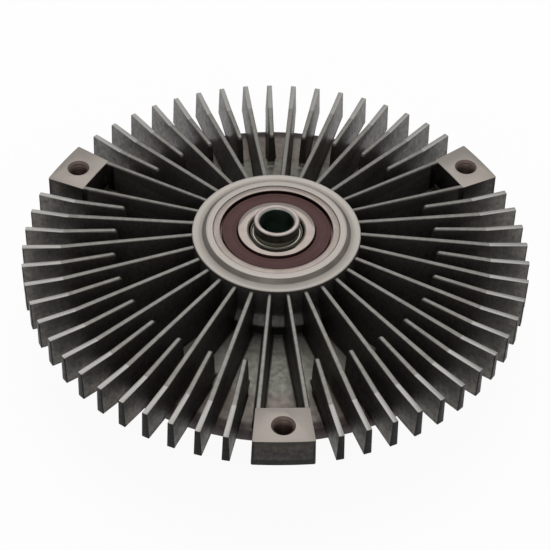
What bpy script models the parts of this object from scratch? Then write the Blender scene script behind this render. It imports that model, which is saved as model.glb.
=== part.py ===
"""Viscous fan clutch: finned housing and cover, sealed ball bearing, hollow shaft, rotor and thermostat valve.

The clutch lies on its front cover with the engine side up. +Z runs along the shaft towards the engine, and the
origin is the centre of the plane that the cover's fins rest on. All lengths are in metres.
"""

import math

import bmesh
import bpy
from mathutils import Matrix, Vector

MM = 0.001

# Clearances
SEAT_GAP = 0.2 * MM
RUN_GAP = 0.7 * MM
CHAMFER = 0.6 * MM

# Facets in a full turn
CASTING_FACETS = 40
RING_FACETS = 32
SMALL_FACETS = 16
SCREW_FACETS = 10
COIL_FACETS = 15
SECTION_FACETS = 6
SHARP_ANGLE = math.radians(28)

# Deep groove ball bearing, 20 x 47 x 14 mm
BEARING_BORE_R = 10.0 * MM
BEARING_OUTER_R = 23.5 * MM
BEARING_WIDTH = 14.0 * MM
BALL_COUNT = 8
RACE_WALL = 2.78 * MM
RACE_GAP = 0.3 * MM
RACE_DEPTH_PER_BALL_R = 0.41
SEAL_RIM_WALL = 2.9 * MM
SEAL_THICKNESS = 1.3 * MM
SEAL_SET_BACK = 0.4 * MM
CAGE_CLEARANCE = 0.6 * MM
CAGE_WEB = 0.9 * MM
CAGE_MOUTH_SET_BACK = 1.0 * MM

# Axial stack of the front cover, from the resting plane up
COVER_FIN_HEIGHT = 11.0 * MM
COVER_WALL = 3.2 * MM
RESERVOIR_DEPTH = 4.8 * MM
PLATE_THICKNESS = 1.2 * MM
PLATE_TO_ROTOR = 3.4 * MM
COVER_FLANGE_THICKNESS = 3.2 * MM

# Axial stack of the rotor and the rear housing
ROTOR_WEB = 2.2 * MM
LAND_HEIGHT = 3.5 * MM
HOUSING_WALL = 4.0 * MM
FLOOR_DEPTH = 12.0 * MM
BOSS_HEIGHT = 7.7 * MM
BOSS_LAND_HEIGHT = 1.2 * MM
BEARING_SET_BACK = 0.6 * MM

# Rear housing, turned outline
CHAMBER_R = 65.5 * MM
LEDGE_WIDTH = 2.7 * MM
RIM_WALL = 13.0 * MM
RIM_BEVEL_WIDTH = 1.9 * MM
RIM_BEVEL_HEIGHT = 3.4 * MM
RIM_BAND = 1.0 * MM
LIP_WALL = 3.3 * MM
LIP_THICKNESS = 1.2 * MM
LIP_OVERLAP = 2.2 * MM
BOSS_WALL = 8.0 * MM
BOSS_DRAFT = 0.3 * MM
BOSS_LAND_WALL = 3.0 * MM
BOSS_LAND_BEVEL = 1.2 * MM
BASE_RING_WIDTH = 3.6 * MM
BASE_RING_HEIGHT = 4.4 * MM
BASE_RING_DRAFT = 0.6 * MM
FLOOR_STEP_WIDTH = 17.0 * MM
FLOOR_STEP = 0.6 * MM
CAVITY_WALL = 6.5 * MM
CAVITY_DEPTH = 6.0 * MM
BEARING_SHOULDER_WIDTH = 3.0 * MM
BEARING_SHOULDER_THICKNESS = 2.0 * MM

# Ring lands that nest in the working chamber
LAND_COUNT = 3
LAND_SET_BACK = 5.0 * MM
LAND_PITCH = 7.5 * MM
LAND_THICKNESS = 1.8 * MM

# Rear fins: a place every FIN_PITCH, long and short by turns, with the lugs in three short places
FIN_PLACES = 60
LUG_COUNT = 3
FIRST_LUG_ANGLE = math.radians(-90)
FIN_OVERHANG = 13.8 * MM
FIN_TOP_THICKNESS = 2.0 * MM
FIN_ROOT_THICKNESS = 2.9 * MM
FIN_EDGE_HEIGHT = 12.7 * MM
FIN_FLAT_WIDTH = 14.2 * MM
FIN_RISE = 6.1 * MM
FIN_ROOT_BURY = 1.5 * MM
SHORT_FIN_LENGTH = 34.0 * MM
SHORT_FIN_NOSE = 3.0 * MM

# Fan lugs, tapped M8
LUG_LENGTH = 15.0 * MM
LUG_INNER_WIDTH = 18.8 * MM
LUG_OUTER_WIDTH = 21.8 * MM
LUG_HOLE_SET_BACK = 7.0 * MM
LUG_HOLE_R = 3.4 * MM
LUG_HOLE_CHAMFER = 0.8 * MM

# Front cover
COVER_FIN_COUNT = 24
COVER_FIN_THICKNESS = 2.0 * MM
COVER_FIN_FOOT_SET_BACK = 4.0 * MM
COVER_FLOOR_BEVEL = 4.0 * MM
COVER_CONE_WIDTH = 3.6 * MM
COVER_CONE_RISE = 3.5 * MM
COVER_LIP_GAP = 0.4 * MM
COVER_FIN_SHOULDER = 0.8 * MM
COVER_FIN_TOP_BELOW_LIP = 3.0 * MM
COIL_GUARD_CLEARANCE = 6.0 * MM
COIL_GUARD_WALL = 3.5 * MM
COIL_GUARD_SET_BACK = 0.5 * MM
RESERVOIR_WALL = 6.5 * MM
RESERVOIR_DRAFT = 1.5 * MM
COVER_FLANGE_WIDTH = 5.0 * MM
PLATE_EDGE_MARGIN = 2.0 * MM
COVER_BOSS_WALL = 4.3 * MM
COVER_BOSS_DRAFT = 0.5 * MM
COVER_BOSS_DEPTH = 1.4 * MM
SEAL_GROOVE_WIDTH = 1.8 * MM
SEAL_GROOVE_DEPTH = 1.6 * MM
COVER_SEAL_SECTION_R = 0.7 * MM

# Separator plate and its screws
SUPPLY_PORT_R = 3.0 * MM
RETURN_PORT_R = 1.6 * MM
RETURN_PORT_SET_BACK = 2.5 * MM
SCREW_COUNT = 3
SCREW_SET_BACK = 7.5 * MM
SCREW_SHANK_R = 1.5 * MM
SCREW_HEAD_R = 2.8 * MM
SCREW_HEAD_HEIGHT = 1.2 * MM
SCREW_POST_R = 4.0 * MM
SCREW_LENGTH = 6.0 * MM
SCREW_HOLE_SPARE = 0.8 * MM

# Hollow shaft
SPIGOT_STEP = 1.5 * MM
SPIGOT_HEIGHT = 5.0 * MM
SHAFT_BORE_R = 6.25 * MM
SHAFT_BORE_DEPTH = 30.0 * MM
SHOULDER_STEP = 2.5 * MM
ROTOR_SEAT_STEP = 1.0 * MM
SHAFT_TIP = 1.8 * MM
CIRCLIP_GROOVE_DEPTH = 0.8 * MM
CIRCLIP_THICKNESS = 0.9 * MM
CIRCLIP_STAND_OUT = 2.5 * MM

# Rotor
ROTOR_HUB_WALL = 6.0 * MM
ROTOR_HUB_HEIGHT = 7.5 * MM
ROTOR_HUB_SET_BACK = 1.8 * MM
ROTOR_CONE_WIDTH = 5.0 * MM
ROTOR_HOLE_COUNT = 6
ROTOR_HOLE_R = 3.0 * MM

# Thermostat: valve shaft, arm and bimetal coil
VALVE_SHAFT_R = 2.5 * MM
VALVE_SHAFT_CLEARANCE = 1.2 * MM
VALVE_SEAL_SECTION_R = 0.55 * MM
VALVE_SEAL_GROOVE_DEPTH = 1.0 * MM
VALVE_SEAL_GROOVE_WIDTH = 1.4 * MM
VALVE_ARM_THICKNESS = 0.9 * MM
VALVE_ARM_HUB_WALL = 2.5 * MM
VALVE_ARM_HALF_WIDTH = 2.6 * MM
VALVE_PAD_R = 5.5 * MM
VALVE_CLIP_STAND_OUT = 2.1 * MM
VALVE_CLIP_THICKNESS = 0.6 * MM
VALVE_PAD_CLEARANCE = 1.5 * MM
PORT_ANGLE = math.radians(60)
COIL_THICKNESS = 0.9 * MM
COIL_WIDTH = 6.6 * MM
COIL_CLEARANCE = 1.5 * MM
COIL_INNER_GAP = 4.5 * MM
COIL_BUILD = 15.0 * MM
COIL_TURNS = 4.25
COIL_POST_R = 2.8 * MM
COIL_POST_SPIGOT_R = 1.8 * MM
COIL_POST_SPIGOT_LENGTH = 2.0 * MM

# Radii that follow
BALL_PITCH_R = (BEARING_BORE_R + BEARING_OUTER_R) / 2
BALL_R = (BEARING_OUTER_R - BEARING_BORE_R) / 2 - RACE_WALL
INNER_LAND_R = BALL_PITCH_R - BALL_R * (1 - RACE_DEPTH_PER_BALL_R)
OUTER_LAND_R = BALL_PITCH_R + BALL_R * (1 - RACE_DEPTH_PER_BALL_R)
SEAL_RECESS_R = BEARING_OUTER_R - SEAL_RIM_WALL
CAGE_INNER_R = INNER_LAND_R + CAGE_CLEARANCE
CAGE_OUTER_R = OUTER_LAND_R - CAGE_CLEARANCE
SPIGOT_R = BEARING_BORE_R - SPIGOT_STEP
SHOULDER_R = BEARING_BORE_R + SHOULDER_STEP
ROTOR_SEAT_R = BEARING_BORE_R - ROTOR_SEAT_STEP
CIRCLIP_OUTER_R = ROTOR_SEAT_R + CIRCLIP_STAND_OUT
ROTOR_HUB_R = ROTOR_SEAT_R + ROTOR_HUB_WALL
SEAT_R = BEARING_OUTER_R + SEAT_GAP
BOSS_R = BEARING_OUTER_R + BOSS_WALL
BOSS_LAND_R = BEARING_OUTER_R + BOSS_LAND_WALL
BASE_RING_R = BOSS_R + BASE_RING_WIDTH
CAVITY_R = BOSS_R - CAVITY_WALL
COVER_BORE_R = CHAMBER_R + LEDGE_WIDTH
RIM_R = COVER_BORE_R + RIM_WALL
RIM_TOP_R = RIM_R - RIM_BEVEL_WIDTH
FLOOR_STEP_R = RIM_TOP_R - FLOOR_STEP_WIDTH
LIP_R = COVER_BORE_R + LIP_WALL
LIP_INNER_R = COVER_BORE_R - LIP_OVERLAP
FIN_TIP_R = RIM_R + FIN_OVERHANG
FIN_FLAT_R = FIN_TIP_R - FIN_FLAT_WIDTH
SHORT_FIN_R = FIN_TIP_R - SHORT_FIN_LENGTH
LUG_INNER_R = FIN_TIP_R - LUG_LENGTH
LUG_HOLE_AT_R = FIN_TIP_R - LUG_HOLE_SET_BACK
ROTOR_R = CHAMBER_R - RUN_GAP
LAST_ROTOR_LAND_R = ROTOR_R - LAND_SET_BACK
FIRST_ROTOR_LAND_R = LAST_ROTOR_LAND_R - (LAND_COUNT - 1) * LAND_PITCH
ROTOR_CONE_R = ROTOR_HUB_R + ROTOR_CONE_WIDTH
ROTOR_HOLE_AT_R = (ROTOR_CONE_R + FIRST_ROTOR_LAND_R) / 2
COVER_FLANGE_R = COVER_BORE_R - SEAT_GAP
COVER_FLANGE_INNER_R = COVER_FLANGE_R - COVER_FLANGE_WIDTH
COVER_NECK_R = LIP_INNER_R - COVER_LIP_GAP
COVER_CONE_R = COVER_NECK_R - COVER_CONE_WIDTH
COVER_FLOOR_R = COVER_CONE_R - COVER_FLOOR_BEVEL
COVER_FIN_FOOT_R = COVER_FLOOR_R - COVER_FIN_FOOT_SET_BACK
PLATE_R = COVER_FLANGE_INNER_R - PLATE_EDGE_MARGIN
RESERVOIR_R = PLATE_R - RESERVOIR_WALL
SCREW_AT_R = RESERVOIR_R - SCREW_SET_BACK
SUPPLY_PORT_AT_R = SCREW_AT_R - SCREW_POST_R - VALVE_PAD_R - VALVE_PAD_CLEARANCE
RETURN_PORT_AT_R = RESERVOIR_R - RETURN_PORT_SET_BACK
VALVE_HOLE_R = VALVE_SHAFT_R + SEAT_GAP
COVER_BOSS_R = VALVE_HOLE_R + COVER_BOSS_WALL
VALVE_ARM_HUB_R = VALVE_SHAFT_R + VALVE_ARM_HUB_WALL
VALVE_CLIP_R = VALVE_SHAFT_R + VALVE_CLIP_STAND_OUT
COIL_INNER_R = VALVE_SHAFT_R + COIL_INNER_GAP
COIL_OUTER_R = COIL_INNER_R + COIL_BUILD
COIL_GUARD_INNER_R = COIL_OUTER_R + COIL_GUARD_CLEARANCE
COIL_GUARD_OUTER_R = COIL_GUARD_INNER_R + COIL_GUARD_WALL
SLOT_WIDTH = COIL_THICKNESS + 2 * SEAT_GAP

# Levels that follow, from the resting plane up
Z_COVER_OUT = COVER_FIN_HEIGHT
Z_COVER_IN = Z_COVER_OUT + COVER_WALL
Z_PLATE_LOW = Z_COVER_IN + RESERVOIR_DEPTH
Z_PLATE_TOP = Z_PLATE_LOW + PLATE_THICKNESS
Z_ROTOR_LOW = Z_PLATE_TOP + PLATE_TO_ROTOR
Z_FLANGE_TOP = Z_ROTOR_LOW - RUN_GAP
Z_FLANGE_LOW = Z_FLANGE_TOP - COVER_FLANGE_THICKNESS
Z_LIP_TOP = Z_FLANGE_LOW - SEAT_GAP
Z_LIP_LOW = Z_LIP_TOP - LIP_THICKNESS
Z_LEDGE = Z_FLANGE_TOP + SEAT_GAP
Z_WEB_TOP = Z_ROTOR_LOW + ROTOR_WEB
Z_HUB_LOW = Z_ROTOR_LOW + ROTOR_HUB_SET_BACK
Z_HUB_TOP = Z_HUB_LOW + ROTOR_HUB_HEIGHT
Z_UNDERSIDE = Z_WEB_TOP + LAND_HEIGHT + RUN_GAP
Z_FLOOR = Z_UNDERSIDE + HOUSING_WALL
Z_FIN = Z_FLOOR + FLOOR_DEPTH
Z_BOSS_RING = Z_FIN + BOSS_HEIGHT
Z_BOSS_TOP = Z_BOSS_RING + BOSS_LAND_HEIGHT
Z_BEARING_TOP = Z_BOSS_TOP - BEARING_SET_BACK
Z_BEARING_LOW = Z_BEARING_TOP - BEARING_WIDTH
Z_BALLS = Z_BEARING_TOP - BEARING_WIDTH / 2
Z_SPIGOT_TOP = Z_BEARING_TOP + SPIGOT_HEIGHT
Z_SHAFT_LOW = Z_HUB_LOW - SHAFT_TIP
Z_COIL_LOW = COIL_CLEARANCE
Z_COIL_TOP = Z_COIL_LOW + COIL_WIDTH
Z_COVER_BOSS_LOW = Z_COVER_OUT - COVER_BOSS_DEPTH
Z_ARM_TOP = Z_PLATE_LOW - SEAT_GAP
Z_ARM_LOW = Z_ARM_TOP - VALVE_ARM_THICKNESS

MATERIALS = {
    "cast_aluminium": ((0.17, 0.165, 0.155), 0.55, 1.0),
    "turned_steel": ((0.62, 0.58, 0.54), 0.3, 1.0),
    "bearing_steel": ((0.66, 0.62, 0.59), 0.25, 1.0),
    "brown_rubber": ((0.085, 0.03, 0.028), 0.55, 0.0),
    "black_rubber": ((0.02, 0.02, 0.02), 0.6, 0.0),
    "brown_nylon": ((0.1, 0.045, 0.02), 0.5, 0.0),
    "rotor_aluminium": ((0.6, 0.6, 0.6), 0.35, 1.0),
    "plate_steel": ((0.5, 0.5, 0.5), 0.35, 1.0),
    "bimetal": ((0.55, 0.48, 0.38), 0.35, 1.0),
    "zinc_steel": ((0.55, 0.56, 0.56), 0.35, 1.0),
}


def clear_scene():
    """Remove every object that the file opened with."""
    for old in list(bpy.data.objects):
        bpy.data.objects.remove(old, do_unlink=True)


def new_collection(name):
    """A collection linked to the scene."""
    made = bpy.data.collections.new(name)
    bpy.context.scene.collection.children.link(made)
    return made


def material(name):
    """The Principled material of that name, made once."""
    found = bpy.data.materials.get(name)
    if found:
        return found
    colour, roughness, metallic = MATERIALS[name]
    made = bpy.data.materials.new(name)
    made.use_nodes = True
    shader = made.node_tree.nodes["Principled BSDF"]
    shader.inputs["Base Color"].default_value = (*colour, 1)
    shader.inputs["Roughness"].default_value = roughness
    shader.inputs["Metallic"].default_value = metallic
    return made


def add_object(name, mesh, finish=None):
    """Link a mesh as a named piece, or as a hidden cutter where it has no finish."""
    piece = bpy.data.objects.new(name, mesh)
    if finish is None:
        bpy.data.collections["cutters"].objects.link(piece)
        piece.hide_render = True
        piece.display_type = "WIRE"
        return piece
    bpy.data.collections["fan_clutch"].objects.link(piece)
    mesh.materials.append(material(finish))
    return piece


def turned(name, outline, finish=None, facets=RING_FACETS, closed=True, at=(0, 0, 0)):
    """A turned piece: an outline of (radius, height) points, run down its outer side, spun about Z."""
    mesh = bpy.data.meshes.new(name)
    points = [(radius, 0, height) for radius, height in outline]
    edges = [(i, i + 1) for i in range(len(points) - 1)]
    if closed:
        edges.append((len(points) - 1, 0))
    mesh.from_pydata(points, edges, [])
    piece = add_object(name, mesh, finish)
    piece.location = at
    screw = piece.modifiers.new("turn", "SCREW")
    screw.axis = "Z"
    screw.angle = 2 * math.pi
    screw.steps = facets
    screw.render_steps = facets
    screw.use_merge_vertices = True
    screw.merge_threshold = 0.00001
    screw.use_smooth_shade = False
    return piece


def combine(piece, other, operation):
    """Join a hidden mesh to a piece, or cut it away."""
    step = piece.modifiers.new(other.name, "BOOLEAN")
    step.operation = operation
    step.object = other
    step.solver = "EXACT"


def mesh_from(name, bm):
    """Turn a bmesh into a mesh whose faces point outwards."""
    bmesh.ops.recalc_face_normals(bm, faces=bm.faces)
    mesh = bpy.data.meshes.new(name)
    bm.to_mesh(mesh)
    bm.free()
    return mesh


def add_blade(bm, outline, angle, half_thickness):
    """One fin: an upright (radius, height) outline thickened either way, then turned about Z.

    half_thickness gives half the fin's thickness at a height, so that the sides can taper."""
    face = bm.faces.new([bm.verts.new((radius, -half_thickness(height), height)) for radius, height in outline])
    grown = bmesh.ops.extrude_face_region(bm, geom=[face])
    far_side = [v for v in grown["geom"] if isinstance(v, bmesh.types.BMVert)]
    for vertex in far_side:
        vertex.co.y = half_thickness(vertex.co.z)
    turn = Matrix.Rotation(angle, 3, "Z")
    bmesh.ops.rotate(bm, verts=far_side + list(face.verts), cent=(0, 0, 0), matrix=turn)


def add_drum(bm, radius, low, high, at_r=0.0, angle=0.0, facets=SMALL_FACETS):
    """A plain cylinder between two heights, set at a radius and an angle."""
    place = Matrix.Translation((at_r * math.cos(angle), at_r * math.sin(angle), (low + high) / 2))
    bmesh.ops.create_cone(
        bm, cap_ends=True, segments=facets, radius1=radius, radius2=radius, depth=high - low, matrix=place
    )


def lug_angles():
    """Where the lugs stand, in radians."""
    return [FIRST_LUG_ANGLE + i * 2 * math.pi / LUG_COUNT for i in range(LUG_COUNT)]


def land_outline(centre_r, root, end):
    """The three sides of one ring land in a turned outline, from its outer root to its inner root."""
    half = LAND_THICKNESS / 2
    return [(centre_r + half, root), (centre_r + half, end), (centre_r - half, end), (centre_r - half, root)]


def housing_outline():
    """The rear housing's turned outline: boss, floor, rim, rolled lip, chamber with its lands, and bearing seat."""
    outline = [
        (SEAT_R + CHAMFER, Z_BOSS_TOP),
        (BOSS_LAND_R, Z_BOSS_TOP),
        (BOSS_LAND_R + BOSS_LAND_BEVEL, Z_BOSS_RING),
        (BOSS_R, Z_BOSS_RING),
        (BOSS_R + BOSS_DRAFT, Z_FLOOR + BASE_RING_HEIGHT),
        (BASE_RING_R - BASE_RING_DRAFT, Z_FLOOR + BASE_RING_HEIGHT),
        (BASE_RING_R, Z_FLOOR),
        (FLOOR_STEP_R, Z_FLOOR),
        (FLOOR_STEP_R + FLOOR_STEP, Z_FLOOR - FLOOR_STEP),
        (RIM_TOP_R, Z_FLOOR - FLOOR_STEP),
        (RIM_R, Z_FLOOR - FLOOR_STEP - RIM_BEVEL_HEIGHT),
        (RIM_R, Z_FLOOR - FLOOR_STEP - RIM_BEVEL_HEIGHT - RIM_BAND),
        (LIP_R, Z_LIP_LOW),
        (LIP_INNER_R, Z_LIP_LOW),
        (LIP_INNER_R, Z_LIP_TOP),
        (COVER_BORE_R, Z_LIP_TOP),
        (COVER_BORE_R, Z_LEDGE),
        (CHAMBER_R, Z_LEDGE),
        (CHAMBER_R, Z_UNDERSIDE),
    ]
    for i in reversed(range(LAND_COUNT)):
        centre_r = FIRST_ROTOR_LAND_R + (i - 0.5) * LAND_PITCH
        outline += land_outline(centre_r, Z_UNDERSIDE, Z_WEB_TOP + RUN_GAP)
    shoulder_r = BEARING_OUTER_R - BEARING_SHOULDER_WIDTH
    outline += [
        (CAVITY_R, Z_UNDERSIDE),
        (CAVITY_R, Z_UNDERSIDE + CAVITY_DEPTH),
        (shoulder_r, Z_BEARING_LOW - BEARING_SHOULDER_THICKNESS),
        (shoulder_r, Z_BEARING_LOW - SEAT_GAP),
        (SEAT_R, Z_BEARING_LOW - SEAT_GAP),
        (SEAT_R, Z_BOSS_TOP - CHAMFER),
    ]
    return outline


def fin_top(radius):
    """Height of a rear fin's top edge: level where it was faced, rising from there to the boss."""
    if radius >= FIN_FLAT_R:
        return Z_FIN
    return Z_FIN + FIN_RISE * (FIN_FLAT_R - radius) / (FIN_FLAT_R - BOSS_R)


def fin_half_thickness(height):
    """Half the thickness of a rear fin, which tapers from its root to its top."""
    share = (height - Z_FLOOR) / (Z_FIN - Z_FLOOR)
    return (FIN_ROOT_THICKNESS + (FIN_TOP_THICKNESS - FIN_ROOT_THICKNESS) * share) / 2


def rear_fin_outline(inner_r, outer_r, nose=0.0):
    """A rear fin seen from its side. A short fin has its inner top corner rounded by its nose."""
    root = Z_FLOOR - FLOOR_STEP - FIN_ROOT_BURY
    buried_r = RIM_TOP_R - FIN_ROOT_BURY
    outline = [(inner_r, root)]
    if nose:
        centre_r, centre_height = inner_r + nose, fin_top(inner_r + nose) - nose
        for share in (0, 0.5, 1):
            turn = share * math.pi / 2
            outline.append((centre_r - nose * math.cos(turn), centre_height + nose * math.sin(turn)))
    else:
        outline.append((inner_r, fin_top(inner_r)))
    if outer_r > FIN_FLAT_R:
        edge_low = Z_FIN - FIN_EDGE_HEIGHT
        outline += [(FIN_FLAT_R, Z_FIN), (outer_r, Z_FIN), (outer_r, edge_low), (RIM_TOP_R, edge_low - CHAMFER / 2)]
    else:
        outline.append((outer_r, fin_top(outer_r)))
    outline.append((buried_r, root))
    return outline


def rear_fins():
    """All the rear fins in one hidden mesh: long ones from the boss, short ones between, none in a lug's place."""
    pitch = 2 * math.pi / FIN_PLACES
    lug_every = FIN_PLACES // LUG_COUNT
    long_inner_r = BOSS_R - FIN_ROOT_BURY
    bm = bmesh.new()
    for place in range(FIN_PLACES):
        from_lug = place % lug_every
        angle = FIRST_LUG_ANGLE + place * pitch
        if from_lug == 0:
            continue
        if from_lug % 2 == 0:
            outline = rear_fin_outline(SHORT_FIN_R, FIN_TIP_R, SHORT_FIN_NOSE)
        elif from_lug in (1, lug_every - 1):
            outline = rear_fin_outline(long_inner_r, LUG_INNER_R + FIN_ROOT_BURY)
        else:
            outline = rear_fin_outline(long_inner_r, FIN_TIP_R)
        add_blade(bm, outline, angle, fin_half_thickness)
    return add_object("rear_fin_blades", mesh_from("rear_fin_blades", bm))


def fan_lugs():
    """The three lugs in one hidden mesh: blocks that widen outwards, faced level with the fins."""
    bm = bmesh.new()
    low = Z_FIN - FIN_EDGE_HEIGHT
    plan = [
        (LUG_INNER_R, -LUG_INNER_WIDTH / 2),
        (FIN_TIP_R, -LUG_OUTER_WIDTH / 2),
        (FIN_TIP_R, LUG_OUTER_WIDTH / 2),
        (LUG_INNER_R, LUG_INNER_WIDTH / 2),
    ]
    for angle in lug_angles():
        face = bm.faces.new([bm.verts.new((x, y, low)) for x, y in plan])
        grown = bmesh.ops.extrude_face_region(bm, geom=[face])
        top = [v for v in grown["geom"] if isinstance(v, bmesh.types.BMVert)]
        bmesh.ops.translate(bm, verts=top, vec=(0, 0, Z_FIN - low))
        turn = Matrix.Rotation(angle, 3, "Z")
        bmesh.ops.rotate(bm, verts=top + list(face.verts), cent=(0, 0, 0), matrix=turn)
    return add_object("fan_lug_blocks", mesh_from("fan_lug_blocks", bm))


def lug_drill(index, angle):
    """A hidden cutter for one lug's hole, with the chamfer at its mouth."""
    past = 2 * CHAMFER
    low = Z_FIN - FIN_EDGE_HEIGHT - past
    outline = [
        (0, Z_FIN + past),
        (LUG_HOLE_R + LUG_HOLE_CHAMFER + past, Z_FIN + past),
        (LUG_HOLE_R, Z_FIN - LUG_HOLE_CHAMFER),
        (LUG_HOLE_R, low),
        (0, low),
    ]
    place = (LUG_HOLE_AT_R * math.cos(angle), LUG_HOLE_AT_R * math.sin(angle), 0)
    return turned(f"lug_drill_{index}", outline, facets=SMALL_FACETS, closed=False, at=place)


def build_rear_housing():
    """The finned rear casting with its lugs, bearing boss and working chamber."""
    housing = turned("rear_housing", housing_outline(), "cast_aluminium", CASTING_FACETS)
    combine(housing, rear_fins(), "UNION")
    combine(housing, fan_lugs(), "UNION")
    for index, angle in enumerate(lug_angles(), 1):
        combine(housing, lug_drill(index, angle), "DIFFERENCE")


def cover_outline():
    """The front cover's turned outline: valve boss, reservoir, plate seat, flange with seal groove, cone, guard."""
    groove_r = COVER_FLANGE_R - SEAL_GROOVE_DEPTH
    groove_mid = (Z_FLANGE_LOW + Z_FLANGE_TOP) / 2
    groove_top = groove_mid + SEAL_GROOVE_WIDTH / 2
    groove_low = groove_mid - SEAL_GROOVE_WIDTH / 2
    plate_seat_r = PLATE_R + SEAT_GAP
    return [
        (VALVE_HOLE_R, Z_ARM_LOW - SEAT_GAP),
        (COVER_BOSS_R, Z_ARM_LOW - SEAT_GAP),
        (COVER_BOSS_R + COVER_BOSS_DRAFT, Z_COVER_IN),
        (RESERVOIR_R, Z_COVER_IN),
        (RESERVOIR_R + RESERVOIR_DRAFT, Z_PLATE_LOW - SEAT_GAP),
        (plate_seat_r, Z_PLATE_LOW - SEAT_GAP),
        (plate_seat_r, Z_PLATE_TOP),
        (COVER_FLANGE_INNER_R, Z_FLANGE_TOP),
        (COVER_FLANGE_R, Z_FLANGE_TOP),
        (COVER_FLANGE_R, groove_top),
        (groove_r, groove_top),
        (groove_r, groove_low),
        (COVER_FLANGE_R, groove_low),
        (COVER_FLANGE_R, Z_FLANGE_LOW),
        (COVER_NECK_R, Z_FLANGE_LOW),
        (COVER_NECK_R, Z_LIP_LOW),
        (COVER_CONE_R, Z_COVER_OUT + COVER_CONE_RISE),
        (COVER_FLOOR_R, Z_COVER_OUT),
        (COIL_GUARD_OUTER_R, Z_COVER_OUT),
        (COIL_GUARD_OUTER_R, COIL_GUARD_SET_BACK),
        (COIL_GUARD_INNER_R, COIL_GUARD_SET_BACK),
        (COIL_GUARD_INNER_R, Z_COVER_OUT),
        (COVER_BOSS_R + COVER_BOSS_DRAFT, Z_COVER_OUT),
        (COVER_BOSS_R, Z_COVER_BOSS_LOW),
        (VALVE_HOLE_R, Z_COVER_BOSS_LOW),
    ]


def cover_wall_r(height):
    """Radius of the cover's cone at a height between its foot and its neck."""
    cone_low = Z_COVER_OUT + COVER_CONE_RISE
    return COVER_CONE_R + COVER_CONE_WIDTH * (height - cone_low) / (Z_LIP_LOW - cone_low)


def cover_fins():
    """The cover's radial fins in one hidden mesh, from the coil guard out and up the cone."""
    inner_r = (COIL_GUARD_INNER_R + COIL_GUARD_OUTER_R) / 2
    root = Z_COVER_OUT + FIN_ROOT_BURY
    top = Z_LIP_LOW - COVER_FIN_TOP_BELOW_LIP
    outline = [
        (inner_r, root),
        (inner_r, 0),
        (COVER_FIN_FOOT_R, 0),
        (cover_wall_r(top) + COVER_FIN_SHOULDER, top),
        (cover_wall_r(top) - FIN_ROOT_BURY / 2, top),
        (COVER_FLOOR_R - FIN_ROOT_BURY / 2, root),
    ]
    bm = bmesh.new()
    for i in range(COVER_FIN_COUNT):
        add_blade(bm, outline, i * 2 * math.pi / COVER_FIN_COUNT, lambda height: COVER_FIN_THICKNESS / 2)
    return add_object("cover_fin_blades", mesh_from("cover_fin_blades", bm))


def screw_angles():
    """Where the plate's screws stand, in radians."""
    return [math.pi / 2 + i * 2 * math.pi / SCREW_COUNT for i in range(SCREW_COUNT)]


def coil_path():
    """Points of the bimetal coil in plan: across the valve shaft's slot, then outwards in a spiral."""
    reach = VALVE_SHAFT_R * 0.8
    path = [(-reach, 0.0), (reach, 0.0)]
    count = round(COIL_FACETS * COIL_TURNS)
    for i in range(count + 1):
        share = i / count
        radius = COIL_INNER_R + (COIL_OUTER_R - COIL_INNER_R) * share
        angle = 2 * math.pi * COIL_TURNS * share
        path.append((radius * math.cos(angle), radius * math.sin(angle)))
    return path


def coil_post_place():
    """The coil post's centre in plan, at the coil's outer end."""
    return Vector((*coil_path()[-1], 0))


def coil_end_angle():
    """The direction in plan in which the coil runs into its post, in radians."""
    (x_before, y_before), (x_end, y_end) = coil_path()[-2:]
    return math.atan2(y_end - y_before, x_end - x_before)


def build_front_cover():
    """The finned front casting with its screw posts and the seat for the coil's post."""
    cover = turned("front_cover", cover_outline(), "cast_aluminium", CASTING_FACETS)
    combine(cover, cover_fins(), "UNION")
    posts = bmesh.new()
    for angle in screw_angles():
        add_drum(
            posts, SCREW_POST_R, Z_COVER_IN - COVER_WALL / 2, Z_PLATE_LOW - SEAT_GAP, SCREW_AT_R, angle, SCREW_FACETS
        )
    combine(cover, add_object("screw_posts", mesh_from("screw_posts", posts)), "UNION")
    holes = bmesh.new()
    hole_low = Z_PLATE_TOP - SCREW_LENGTH - SCREW_HOLE_SPARE
    for angle in screw_angles():
        add_drum(
            holes, SCREW_SHANK_R + SEAT_GAP, hole_low, Z_PLATE_LOW + CHAMFER, SCREW_AT_R, angle, SCREW_FACETS
        )
    post = coil_post_place()
    add_drum(
        holes,
        COIL_POST_SPIGOT_R + SEAT_GAP,
        Z_COVER_OUT - CHAMFER,
        Z_COVER_OUT + COIL_POST_SPIGOT_LENGTH + SEAT_GAP,
        post.length,
        math.atan2(post.y, post.x),
    )
    combine(cover, add_object("cover_drills", mesh_from("cover_drills", holes)), "DIFFERENCE")


def ring_of_section(name, ring_r, section_r, height, finish, facets):
    """A round-section sealing ring."""
    bpy.ops.mesh.primitive_torus_add(
        major_radius=ring_r, minor_radius=section_r, major_segments=facets, minor_segments=SECTION_FACETS, location=(0, 0, height)
    )
    ring = bpy.context.object
    ring.name = name
    for other in list(ring.users_collection):
        other.objects.unlink(ring)
    bpy.data.collections["fan_clutch"].objects.link(ring)
    ring.data.materials.append(material(finish))


def build_cover_seal():
    """The sealing ring in the cover flange's groove."""
    ring_r = COVER_FLANGE_R - SEAL_GROOVE_DEPTH + SEAT_GAP + COVER_SEAL_SECTION_R
    middle = (Z_FLANGE_LOW + Z_FLANGE_TOP) / 2
    ring_of_section("cover_seal_ring", ring_r, COVER_SEAL_SECTION_R, middle, "black_rubber", CASTING_FACETS)


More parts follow.
